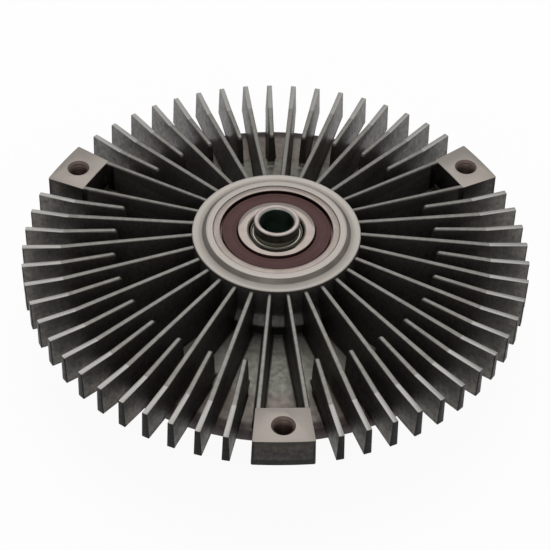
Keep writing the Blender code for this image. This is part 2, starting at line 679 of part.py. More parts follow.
def build_separator_plate():
    """The plate between the reservoir and the working chamber, with its supply and return ports."""
    low, top = Z_PLATE_LOW, Z_PLATE_TOP
    outline = [(0, top), (PLATE_R, top), (PLATE_R, low), (0, low)]
    plate = turned("separator_plate", outline, "plate_steel", CASTING_FACETS, closed=False)
    holes = bmesh.new()
    reach = (low - CHAMFER, top + CHAMFER)
    add_drum(holes, SUPPLY_PORT_R, *reach, SUPPLY_PORT_AT_R, PORT_ANGLE)
    add_drum(holes, RETURN_PORT_R, *reach, RETURN_PORT_AT_R, PORT_ANGLE + math.pi, SCREW_FACETS)
    for angle in screw_angles():
        add_drum(holes, SCREW_SHANK_R + SEAT_GAP, *reach, SCREW_AT_R, angle, SCREW_FACETS)
    combine(plate, add_object("plate_drills", mesh_from("plate_drills", holes)), "DIFFERENCE")


def build_plate_screws():
    """The screws that hold the separator plate down on the cover's posts."""
    head_low = Z_PLATE_TOP + SEAT_GAP
    outline = [
        (0, head_low + SCREW_HEAD_HEIGHT),
        (SCREW_HEAD_R - CHAMFER, head_low + SCREW_HEAD_HEIGHT),
        (SCREW_HEAD_R, head_low + SCREW_HEAD_HEIGHT - CHAMFER),
        (SCREW_HEAD_R, head_low),
        (SCREW_SHANK_R, head_low),
        (SCREW_SHANK_R, Z_PLATE_TOP - SCREW_LENGTH),
        (0, Z_PLATE_TOP - SCREW_LENGTH),
    ]
    for index, angle in enumerate(screw_angles(), 1):
        place = (SCREW_AT_R * math.cos(angle), SCREW_AT_R * math.sin(angle), 0)
        turned(f"plate_screw_{index}", outline, "zinc_steel", SCREW_FACETS, closed=False, at=place)


def raceway(land_r, side):
    """Points of a ball groove that opens at land_r, run upwards. side is -1 on the inner ring, 1 on the outer."""
    groove_r = BALL_R + RACE_GAP
    depth = abs(BALL_PITCH_R - land_r)
    widest = math.acos(depth / groove_r)
    steps = 3
    angles = [-widest + 2 * widest * i / steps for i in range(steps + 1)]
    return [(BALL_PITCH_R + side * groove_r * math.cos(a), Z_BALLS + groove_r * math.sin(a)) for a in angles]


def build_bearing_rings():
    """The bearing's outer and inner rings, with ball grooves and the outer ring's recesses for its seals."""
    top, low = Z_BEARING_TOP, Z_BEARING_LOW
    recess = SEAL_SET_BACK + SEAL_THICKNESS + SEAT_GAP
    outer = [
        (SEAL_RECESS_R, top),
        (BEARING_OUTER_R - CHAMFER, top),
        (BEARING_OUTER_R, top - CHAMFER),
        (BEARING_OUTER_R, low + CHAMFER),
        (BEARING_OUTER_R - CHAMFER, low),
        (SEAL_RECESS_R, low),
        (SEAL_RECESS_R, low + recess),
        (OUTER_LAND_R, low + recess),
        *raceway(OUTER_LAND_R, 1),
        (OUTER_LAND_R, top - recess),
        (SEAL_RECESS_R, top - recess),
    ]
    turned("bearing_outer_ring", outer, "bearing_steel")
    bore_r = BEARING_BORE_R + SEAT_GAP
    inner = [
        (bore_r, top - CHAMFER),
        (bore_r + CHAMFER, top),
        (INNER_LAND_R, top),
        *reversed(raceway(INNER_LAND_R, -1)),
        (INNER_LAND_R, low),
        (bore_r + CHAMFER, low),
        (bore_r, low + CHAMFER),
    ]
    turned("bearing_inner_ring", inner, "bearing_steel")


def build_bearing_seals():
    """The two brown seals, one at each face of the bearing."""
    inner_r = INNER_LAND_R + SEAT_GAP
    outer_r = SEAL_RECESS_R - SEAT_GAP
    for name, top in (
        ("bearing_seal_rear", Z_BEARING_TOP - SEAL_SET_BACK),
        ("bearing_seal_front", Z_BEARING_LOW + SEAL_SET_BACK + SEAL_THICKNESS),
    ):
        low = top - SEAL_THICKNESS
        turned(name, [(inner_r, top), (outer_r, top), (outer_r, low), (inner_r, low)], "brown_rubber")


def build_balls_and_cage():
    """The balls, and the crown cage that spaces them and is open on its lower side."""
    top = Z_BALLS + BALL_R + RACE_GAP + CAGE_WEB
    low = Z_BALLS - BALL_R + CAGE_MOUTH_SET_BACK
    outline = [(CAGE_INNER_R, top), (CAGE_OUTER_R, top), (CAGE_OUTER_R, low), (CAGE_INNER_R, low)]
    cage = turned("ball_cage", outline, "brown_nylon")
    pockets = bmesh.new()
    for i in range(BALL_COUNT):
        angle = i * 2 * math.pi / BALL_COUNT
        place = Vector((BALL_PITCH_R * math.cos(angle), BALL_PITCH_R * math.sin(angle), Z_BALLS))
        pocket_r = BALL_R + SEAT_GAP
        bmesh.ops.create_uvsphere(
            pockets, u_segments=10, v_segments=6, radius=pocket_r, matrix=Matrix.Translation(place)
        )
        bpy.ops.mesh.primitive_uv_sphere_add(segments=12, ring_count=6, radius=BALL_R, location=place)
        ball = bpy.context.object
        ball.name = f"bearing_ball_{i + 1}"
        for other in list(ball.users_collection):
            other.objects.unlink(ball)
        bpy.data.collections["fan_clutch"].objects.link(ball)
        ball.data.materials.append(material("bearing_steel"))
    combine(cage, add_object("cage_pockets", mesh_from("cage_pockets", pockets)), "DIFFERENCE")


def build_shaft():
    """The hollow shaft: locating spigot, bearing journal, shoulder, rotor seat and circlip groove."""
    groove_top = Z_HUB_LOW - SEAT_GAP
    groove_low = groove_top - CIRCLIP_THICKNESS - SEAT_GAP
    groove_r = ROTOR_SEAT_R - CIRCLIP_GROOVE_DEPTH
    shoulder_top = Z_BEARING_LOW - SEAT_GAP
    outline = [
        (SHAFT_BORE_R + CHAMFER, Z_SPIGOT_TOP),
        (SPIGOT_R - CHAMFER, Z_SPIGOT_TOP),
        (SPIGOT_R, Z_SPIGOT_TOP - CHAMFER),
        (SPIGOT_R, Z_BEARING_TOP - CHAMFER),
        (BEARING_BORE_R - CHAMFER, Z_BEARING_TOP - CHAMFER),
        (BEARING_BORE_R, Z_BEARING_TOP - 2 * CHAMFER),
        (BEARING_BORE_R, shoulder_top),
        (SHOULDER_R, shoulder_top),
        (SHOULDER_R, Z_HUB_TOP + SEAT_GAP),
        (ROTOR_SEAT_R, Z_HUB_TOP + SEAT_GAP),
        (ROTOR_SEAT_R, groove_top),
        (groove_r, groove_top),
        (groove_r, groove_low),
        (ROTOR_SEAT_R, groove_low),
        (ROTOR_SEAT_R, Z_SHAFT_LOW),
        (0, Z_SHAFT_LOW),
    ]
    bore = [(0, Z_SPIGOT_TOP - SHAFT_BORE_DEPTH), (SHAFT_BORE_R, Z_SPIGOT_TOP - SHAFT_BORE_DEPTH)]
    bore.append((SHAFT_BORE_R, Z_SPIGOT_TOP - CHAMFER))
    turned("drive_shaft", bore + outline, "turned_steel", closed=False)


def build_circlip():
    """The circlip that holds the rotor on the shaft."""
    top = Z_HUB_LOW - 1.5 * SEAT_GAP
    low = top - CIRCLIP_THICKNESS
    inner_r = ROTOR_SEAT_R - CIRCLIP_GROOVE_DEPTH + SEAT_GAP
    outline = [(inner_r, top), (CIRCLIP_OUTER_R, top), (CIRCLIP_OUTER_R, low), (inner_r, low)]
    clip = turned("rotor_circlip", outline, "zinc_steel", 24)
    gap = bmesh.new()
    size = CIRCLIP_OUTER_R
    place = Matrix.Translation((size, 0, (top + low) / 2)) @ Matrix.Diagonal((2 * size, size / 2, size / 2, 1))
    bmesh.ops.create_cube(gap, size=1, matrix=place)
    combine(clip, add_object("circlip_gap", mesh_from("circlip_gap", gap)), "DIFFERENCE")


def build_rotor():
    """The rotor disc: hub on the shaft, web with oil holes, and ring lands towards the housing."""
    hub_bore_r = ROTOR_SEAT_R + SEAT_GAP
    outline = [(hub_bore_r, Z_HUB_TOP), (ROTOR_HUB_R, Z_HUB_TOP)]
    outline += [(ROTOR_HUB_R, Z_HUB_LOW + ROTOR_WEB), (ROTOR_CONE_R, Z_WEB_TOP)]
    for i in range(LAND_COUNT):
        sides = land_outline(FIRST_ROTOR_LAND_R + i * LAND_PITCH, Z_WEB_TOP, Z_WEB_TOP + LAND_HEIGHT)
        outline += reversed(sides)
    outline += [(ROTOR_R, Z_WEB_TOP), (ROTOR_R, Z_ROTOR_LOW), (ROTOR_CONE_R, Z_ROTOR_LOW)]
    outline += [(ROTOR_HUB_R, Z_HUB_LOW), (hub_bore_r, Z_HUB_LOW)]
    rotor = turned("rotor_disc", outline, "rotor_aluminium", CASTING_FACETS)
    holes = bmesh.new()
    for i in range(ROTOR_HOLE_COUNT):
        angle = i * 2 * math.pi / ROTOR_HOLE_COUNT
        add_drum(holes, ROTOR_HOLE_R, Z_ROTOR_LOW - CHAMFER, Z_WEB_TOP + CHAMFER, ROTOR_HOLE_AT_R, angle, SCREW_FACETS)
    combine(rotor, add_object("rotor_drills", mesh_from("rotor_drills", holes)), "DIFFERENCE")


def valve_seal_level():
    """Middle height of the valve shaft's sealing ring, halfway through the cover."""
    return (Z_COVER_BOSS_LOW + Z_ARM_LOW) / 2


def build_valve_shaft():
    """The valve shaft through the cover: coil slot at its foot, grooves for its clip and its sealing ring."""
    clip_top = Z_COVER_BOSS_LOW - SEAT_GAP
    groove_low = clip_top - VALVE_CLIP_THICKNESS - SEAT_GAP
    seal = valve_seal_level()
    neck_r = VALVE_SHAFT_R - VALVE_SEAL_GROOVE_DEPTH
    half = VALVE_SEAL_GROOVE_WIDTH / 2
    outline = [
        (0, Z_ARM_LOW),
        (VALVE_SHAFT_R, Z_ARM_LOW),
        (VALVE_SHAFT_R, seal + half),
        (neck_r, seal + half),
        (neck_r, seal - half),
        (VALVE_SHAFT_R, seal - half),
        (VALVE_SHAFT_R, clip_top),
        (neck_r, clip_top),
        (neck_r, groove_low),
        (VALVE_SHAFT_R, groove_low),
        (VALVE_SHAFT_R, VALVE_SHAFT_CLEARANCE),
        (0, VALVE_SHAFT_CLEARANCE),
    ]
    shaft = turned("valve_shaft", outline, "zinc_steel", SMALL_FACETS, closed=False)
    slot = bmesh.new()
    low = VALVE_SHAFT_CLEARANCE - CHAMFER
    high = Z_COIL_TOP + SEAT_GAP
    length = 4 * VALVE_SHAFT_R
    place = Matrix.Translation((0, 0, (low + high) / 2)) @ Matrix.Diagonal((length, SLOT_WIDTH, high - low, 1))
    bmesh.ops.create_cube(slot, size=1, matrix=place)
    combine(shaft, add_object("valve_slot", mesh_from("valve_slot", slot)), "DIFFERENCE")


def build_valve_trim():
    """The valve shaft's clip below the cover, and its sealing ring inside the cover."""
    top = Z_COVER_BOSS_LOW - 1.5 * SEAT_GAP
    low = top - VALVE_CLIP_THICKNESS
    inner_r = VALVE_SHAFT_R - VALVE_SEAL_GROOVE_DEPTH + SEAT_GAP
    turned(
        "valve_clip",
        [(inner_r, top), (VALVE_CLIP_R, top), (VALVE_CLIP_R, low), (inner_r, low)],
        "zinc_steel",
        SMALL_FACETS,
    )
    ring_r = inner_r + VALVE_SEAL_SECTION_R - SEAT_GAP / 2
    ring_of_section("valve_seal_ring", ring_r, VALVE_SEAL_SECTION_R, valve_seal_level(), "black_rubber", SMALL_FACETS)


def build_valve_arm():
    """The arm on the valve shaft whose pad covers the supply port when cold."""
    low = Z_ARM_LOW + SEAT_GAP / 2
    along = Vector((math.cos(PORT_ANGLE), math.sin(PORT_ANGLE), 0))
    arm = add_object("valve_arm", bpy.data.meshes.new("valve_arm"), "plate_steel")
    hub = bmesh.new()
    add_drum(hub, VALVE_ARM_HUB_R, low, Z_ARM_TOP)
    hub.to_mesh(arm.data)
    hub.free()
    bar = bmesh.new()
    size = (SUPPLY_PORT_AT_R, 2 * VALVE_ARM_HALF_WIDTH, Z_ARM_TOP - low)
    middle = along * SUPPLY_PORT_AT_R / 2 + Vector((0, 0, (low + Z_ARM_TOP) / 2))
    place = Matrix.Translation(middle) @ Matrix.Rotation(PORT_ANGLE, 4, "Z") @ Matrix.Diagonal((*size, 1))
    bmesh.ops.create_cube(bar, size=1, matrix=place)
    combine(arm, add_object("valve_arm_bar", mesh_from("valve_arm_bar", bar)), "UNION")
    pad = bmesh.new()
    add_drum(pad, VALVE_PAD_R, low, Z_ARM_TOP, SUPPLY_PORT_AT_R, PORT_ANGLE)
    combine(arm, add_object("valve_arm_pad", mesh_from("valve_arm_pad", pad)), "UNION")


def build_bimetal_coil():
    """The flat bimetal strip, wound on edge between the valve shaft and its post."""
    path = coil_path()
    mesh = bpy.data.meshes.new("bimetal_coil")
    mesh.from_pydata([(x, y, Z_COIL_LOW) for x, y in path], [(i, i + 1) for i in range(len(path) - 1)], [])
    bm = bmesh.new()
    bm.from_mesh(mesh)
    grown = bmesh.ops.extrude_edge_only(bm, edges=bm.edges)
    upper = [v for v in grown["geom"] if isinstance(v, bmesh.types.BMVert)]
    bmesh.ops.translate(bm, verts=upper, vec=(0, 0, COIL_WIDTH))
    bm.to_mesh(mesh)
    bm.free()
    coil = add_object("bimetal_coil", mesh, "bimetal")
    wall = coil.modifiers.new("strip", "SOLIDIFY")
    wall.thickness = COIL_THICKNESS
    wall.offset = 0
    wall.use_even_offset = True


def build_coil_post():
    """The slotted post pressed into the cover that holds the coil's outer end."""
    top = Z_COVER_OUT - SEAT_GAP
    outline = [
        (0, Z_COVER_OUT + COIL_POST_SPIGOT_LENGTH),
        (COIL_POST_SPIGOT_R, Z_COVER_OUT + COIL_POST_SPIGOT_LENGTH),
        (COIL_POST_SPIGOT_R, top),
        (COIL_POST_R, top),
        (COIL_POST_R, Z_COIL_LOW),
        (0, Z_COIL_LOW),
    ]
    place = coil_post_place()
    post = turned("coil_post", outline, "zinc_steel", SMALL_FACETS, closed=False, at=place)
    slot = bmesh.new()
    high = Z_COIL_TOP + SEAT_GAP
    low = Z_COIL_LOW - CHAMFER
    turn = Matrix.Rotation(coil_end_angle(), 4, "Z")
    size = Matrix.Diagonal((4 * COIL_POST_R, SLOT_WIDTH, high - low, 1))
    centre = Matrix.Translation(place + Vector((0, 0, (low + high) / 2)))
    bmesh.ops.create_cube(slot, size=1, matrix=centre @ turn @ size)
    combine(post, add_object("coil_post_slot", mesh_from("coil_post_slot", slot)), "DIFFERENCE")


def shade_round(pieces):
    """Settle each piece's modifiers into its mesh and shade it smooth up to its real edges."""
    graph = bpy.context.evaluated_depsgraph_get()
    settled = [bpy.data.meshes.new_from_object(piece.evaluated_get(graph), depsgraph=graph) for piece in pieces]
    for piece, mesh in zip(pieces, settled):
        mesh.name = piece.name
        piece.modifiers.clear()
        piece.data = mesh
        mesh.shade_smooth()
        mesh.set_sharp_from_angle(angle=SHARP_ANGLE)


def main():
    """Build the clutch, from the casting outwards in."""
    clear_scene()
    new_collection("fan_clutch")
    new_collection("cutters")
    build_rear_housing()
    build_front_cover()
    build_cover_seal()
    build_separator_plate()
    build_plate_screws()
    build_bearing_rings()
    build_bearing_seals()
    build_balls_and_cage()
    build_shaft()
    build_circlip()
    build_rotor()
    build_valve_shaft()
    build_valve_trim()
    build_valve_arm()
    build_bimetal_coil()
    build_coil_post()
    shade_round(list(bpy.data.collections["fan_clutch"].objects))


main()
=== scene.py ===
"""Scene of a viscous fan clutch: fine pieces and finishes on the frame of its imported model.

Each sub-assembly is a class that holds its sizes as fields, models its pieces with Blender's
operators and dresses them. Sizes are written in millimetres and become metres where a mesh or a
node takes them. Heights are above the plane that the front cover's fins stand on, and radii are
from the shaft's axis.
"""

import logging
import math
from collections.abc import Callable, Mapping, Sequence
from dataclasses import dataclass, field
from enum import Enum

import bmesh
import bpy
from mathutils import Matrix, Vector


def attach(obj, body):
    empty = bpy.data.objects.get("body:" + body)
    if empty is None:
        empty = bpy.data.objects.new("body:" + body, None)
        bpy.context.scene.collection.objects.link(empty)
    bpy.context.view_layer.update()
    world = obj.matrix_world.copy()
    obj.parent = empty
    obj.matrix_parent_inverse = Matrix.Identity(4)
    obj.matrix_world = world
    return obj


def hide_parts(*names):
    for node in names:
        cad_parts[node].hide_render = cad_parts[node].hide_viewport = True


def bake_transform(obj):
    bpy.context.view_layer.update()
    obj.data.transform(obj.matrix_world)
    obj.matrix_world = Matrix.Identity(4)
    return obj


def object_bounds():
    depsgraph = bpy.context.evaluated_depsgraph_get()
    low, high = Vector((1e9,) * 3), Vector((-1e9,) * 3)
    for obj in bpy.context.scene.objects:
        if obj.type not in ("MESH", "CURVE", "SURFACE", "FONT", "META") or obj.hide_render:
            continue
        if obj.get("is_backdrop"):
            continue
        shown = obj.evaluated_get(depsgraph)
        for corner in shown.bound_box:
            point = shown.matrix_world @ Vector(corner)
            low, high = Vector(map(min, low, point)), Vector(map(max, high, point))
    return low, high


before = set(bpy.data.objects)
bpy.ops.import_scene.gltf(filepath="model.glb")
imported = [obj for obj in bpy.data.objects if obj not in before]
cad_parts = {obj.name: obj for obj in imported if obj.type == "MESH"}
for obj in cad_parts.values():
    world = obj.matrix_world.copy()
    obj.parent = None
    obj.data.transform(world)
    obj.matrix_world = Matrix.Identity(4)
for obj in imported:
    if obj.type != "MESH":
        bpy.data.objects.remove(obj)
CAD_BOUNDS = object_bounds()

LOG = logging.getLogger("fan_clutch")
MM = 0.001
WELD = 1e-6
SAME_PLACE = 0.002
SMOOTH_ANGLE = math.radians(30)
FRAME_PIXELS = 550
SENSOR_WIDTH = 36.0
UPWARDS = Vector((0, 0, 1))
WHITE = (1.0, 1.0, 1.0, 1.0)

Colour = tuple[float, float, float, float]
Place = tuple[float, float, float]
Piece = bpy.types.Object
Test = Callable[[Vector, Vector], bool]


def linear(level: int) -> float:
    """Turn a screen level from 0 to 255 into linear light."""
    share = level / 255
    return share / 12.92 if share <= 0.04045 else ((share + 0.055) / 1.055) ** 2.4


def tone(red: int, green: int, blue: int) -> Colour:
    """Give a colour, named as a screen shows it, in linear light."""
    return (linear(red), linear(green), linear(blue), 1.0)


def metres(x: float, y: float, z: float) -> Vector:
    """Give a place or a step, which is written in millimetres, in metres."""
    return Vector((x * MM, y * MM, z * MM))


# Modelling


class Part(Enum):
    """The parts of a mesh that an edit can pick."""

    POINTS = "VERT"
    EDGES = "EDGE"


@dataclass(frozen=True)
class Corner:
    """One corner of a drawn outline.

    Its place is in metres. Its rounding, in millimetres, is the length that it takes from each side.
    """

    place: Vector
    rounding: float = 0.0
    segments: int = 3

    @property
    def curve(self) -> tuple[float, int]:
        """Give the rounding and its segments, which one bevel makes."""
        return self.rounding, self.segments


def profile(*rows: Sequence[float], depth: float = 0.0) -> list[Corner]:
    """Give the corners of an outline that is drawn upright.

    Args:
        rows: Each corner's radius and height, then its rounding and segments where it has them.
        depth: How far behind the axis's plane the outline is drawn.

    Returns:
        The corners.
    """
    return [Corner(metres(radius, depth, height), *curve) for radius, height, *curve in rows]


def clear_selection() -> None:
    """Leave nothing selected, because every operator acts on all that is."""
    bpy.ops.object.select_all(action="DESELECT")


def make_active(piece: Piece) -> None:
    """Select one piece alone and make it the active one."""
    clear_selection()
    piece.select_set(True)
    bpy.context.view_layer.objects.active = piece


def smooth_round_faces(piece: Piece) -> None:
    """Shade a piece smooth up to its real edges."""
    make_active(piece)
    bpy.ops.object.shade_smooth_by_angle(angle=SMOOTH_ANGLE)


def turned_copy(piece: Piece, name: str, angle: float) -> Piece:
    """Copy a finished piece, with a mesh of its own, and turn the copy about the shaft's axis.

    Args:
        piece: The finished piece.
        name: The copy's name.
        angle: How far the copy is turned, in radians.

    Returns:
        The copy.
    """
    twin = piece.copy()
    twin.data = piece.data.copy()
    twin.name = name
    bpy.context.scene.collection.objects.link(twin)
    twin.data.transform(Matrix.Rotation(angle, 4, "Z"))
    return twin


def joined(name: str, pieces: Sequence[Piece]) -> Piece:
    """Make one piece of several.

    Args:
        name: The joined piece's name.
        pieces: The pieces, of which the first keeps its object.

    Returns:
        The joined piece.
    """
    make_active(pieces[0])
    for piece in pieces[1:]:
        piece.select_set(True)
    bpy.ops.object.join()
    whole = bpy.context.object
    whole.name = name
    whole.data.name = name
    return whole


def remove(*pieces: Piece) -> None:
    """Remove patterns that have been copied."""
    for piece in pieces:
        bpy.data.objects.remove(piece)


def cut_with(piece: Piece, cutter: Piece) -> None:
    """Cut one piece's shape out of another and remove the cutter."""
    make_active(piece)
    cut = piece.modifiers.new("cut", "BOOLEAN")
    cut.operation = "DIFFERENCE"
    cut.object = cutter
    bpy.ops.object.modifier_apply(modifier=cut.name)
    remove(cutter)
    smooth_round_faces(piece)


class Bench:
    """A piece on the bench: a primitive that is shaped with edit-mode operators."""

    def __init__(self, name: str) -> None:
        """Take the primitive that was just added, settle it at the origin and open it for edits."""
        self.piece = bpy.context.object
        self.piece.name = name
        self.piece.data.name = name
        bpy.ops.object.transform_apply(location=True, rotation=True, scale=True)
        bpy.ops.object.mode_set(mode="EDIT")

    @classmethod
    def block(cls, name: str, low: Place, high: Place) -> "Bench":
        """Start from a cube primitive that fills the space between two corners."""
        clear_selection()
        first, last = Vector(low) * MM, Vector(high) * MM
        bpy.ops.mesh.primitive_cube_add(size=1, location=(first + last) / 2, scale=last - first)
        return cls(name)

    @classmethod
    def line(cls, name: str, outline: Sequence[Corner]) -> "Bench":
        """Draw a line of corners by extruding one point, then round its corners.

        Args:
            name: The piece's name.
            outline: The corners in order. The first and the last aren't rounded.

        Returns:
            The bench with the drawn line on it, all selected.
        """
        clear_selection()
        bpy.ops.mesh.primitive_circle_add(vertices=3, radius=MM, location=outline[0].place)
        bench = cls(name)
        bench.pick_all()
        bpy.ops.mesh.merge(type="CENTER")
        for before, after in zip(outline, outline[1:]):
            step = after.place - before.place
            bpy.ops.mesh.extrude_region_move(TRANSFORM_OT_translate={"value": step})
        inner = outline[1:-1]
        for curve in sorted({c.curve for c in inner if c.rounding > 0}):
            places = [c.place / MM for c in inner if c.curve == curve]
            bench.pick(Part.POINTS, lambda at, _: any((at - p).length < SAME_PLACE for p in places))
            bpy.ops.mesh.bevel(offset=curve[0] * MM, segments=curve[1], affect="VERTICES")
        bench.pick_all()
        return bench

    @classmethod
    def turning(
        cls, name: str, outline: Sequence[Corner], steps: int = 96, centre: Place = (0, 0, 0)
    ) -> Piece:
        """Spin an upright outline about an upright axis, as on a lathe.

        Args:
            name: The piece's name.
            outline: The corners in order. A ring's outline ends where it starts.
            steps: How many flats stand for the round.
            centre: A point on the axis.

        Returns:
            The finished turned piece.
        """
        bench = cls.line(name, outline)
        bpy.ops.mesh.spin(steps=steps, angle=math.tau, center=metres(*centre), axis=UPWARDS)
        return bench.finish()

    @classmethod
    def slab(cls, name: str, outline: Sequence[Corner], through: Place) -> "Bench":
        """Fill a drawn outline and extrude it.

        Args:
            name: The piece's name.
            outline: The corners in order, ending where it starts.
            through: How far and in which direction the outline is extruded.

        Returns:
            The bench with the slab on it.
        """
        bench = cls.line(name, outline)
        bpy.ops.mesh.remove_doubles(threshold=WELD)
        bench.pick_all()
        bpy.ops.mesh.edge_face_add()
        bench.extrude(through)
        bench.pick_all()
        bpy.ops.mesh.normals_make_consistent(inside=False)
        return bench

    def pick_all(self) -> None:
        """Select the whole mesh."""
        bpy.ops.mesh.select_mode(type="VERT")
        bpy.ops.mesh.select_all(action="SELECT")

    def pick(self, part: Part, test: Test) -> None:
        """Select by place and direction.

        Args:
            part: What is picked: points or edges.
            test: Says yes or no to a place in millimetres and a direction, which is a point's
                normal or the way an edge runs.
        """
        bpy.ops.mesh.select_mode(type=part.value)
        bpy.ops.mesh.select_all(action="DESELECT")
        mesh = bmesh.from_edit_mesh(self.piece.data)
        if part is Part.POINTS:
            spots = [(v, v.co, v.normal) for v in mesh.verts]
        else:
            ends = [(e, e.verts[0].co, e.verts[1].co) for e in mesh.edges]
            spots = [(e, (a + b) / 2, (b - a).normalized()) for e, a, b in ends]
        for element, at, way in spots:
            if test(at / MM, way):
                element.select_set(True)
        mesh.select_flush_mode()
        bmesh.update_edit_mesh(self.piece.data)

    def slice_at(self, height: float) -> None:
        """Draw new edges where a level plane crosses the piece."""
        self.pick_all()
        bpy.ops.mesh.bisect(plane_co=metres(0, 0, height), plane_no=UPWARDS)

    def plane_off(self, place: Place, facing: Place) -> None:
        """Cut away what lies beyond a plane and close the cut."""
        self.pick_all()
        at = Vector(place) * MM
        bpy.ops.mesh.bisect(plane_co=at, plane_no=facing, use_fill=True, clear_outer=True)

    def extrude(self, by: Place) -> None:
        """Extrude what is picked."""
        bpy.ops.mesh.extrude_region_move(TRANSFORM_OT_translate={"value": metres(*by)})

    def move(self, by: Place) -> None:
        """Move what is picked."""
        bpy.ops.transform.translate(value=metres(*by))

    def widen(self, factor: float) -> None:
        """Scale what is picked across the X axis."""
        bpy.ops.transform.resize(value=(1, factor, 1), center_override=(0, 0, 0))

    def bevel(self, width: float, segments: int = 2) -> None:
        """Round the picked edges."""
        bpy.ops.mesh.bevel(offset=width * MM, segments=segments, affect="EDGES")

    def finish(self) -> Piece:
        """Merge what meets, turn the faces outwards, leave edit mode and shade the round faces."""
        self.pick_all()
        bpy.ops.mesh.remove_doubles(threshold=WELD)
        self.pick_all()
        bpy.ops.mesh.normals_make_consistent(inside=False)
        bpy.ops.object.mode_set(mode="OBJECT")
        smooth_round_faces(self.piece)
        return self.piece


# Shading


class Value:
    """A node's output that sums can be written on: each operator adds a Math node."""

    def __init__(self, shading: "Shading", socket: bpy.types.NodeSocket) -> None:
        """Hold the socket and the shading that it belongs to."""
        self.shading = shading
        self.socket = socket

    def _math(self, operation: str, first: "Value | float", second: "Value | float" = 0.0) -> "Value":
        """Add a Math node on two numbers."""
        return self.shading.node("ShaderNodeMath", {"operation": operation}, {0: first, 1: second})

    def __add__(self, other: "Value | float") -> "Value":
        """Add."""
        return self._math("ADD", self, other)

    def __sub__(self, other: "Value | float") -> "Value":
        """Subtract."""
        return self._math("SUBTRACT", self, other)

    def __rsub__(self, other: float) -> "Value":
        """Subtract from a number."""
        return self._math("SUBTRACT", other, self)

    def __mul__(self, other: "Value | float") -> "Value":
        """Multiply."""
        return self._math("MULTIPLY", self, other)

    __radd__ = __add__
    __rmul__ = __mul__

    def __abs__(self) -> "Value":
        """Take the size without its sign."""
        return self._math("ABSOLUTE", self)

    def lower_of(self, other: "Value | float") -> "Value":
        """Take the lower of two values."""
        return self._math("MINIMUM", self, other)

    def higher_of(self, other: "Value | float") -> "Value":
        """Take the higher of two values."""
        return self._math("MAXIMUM", self, other)


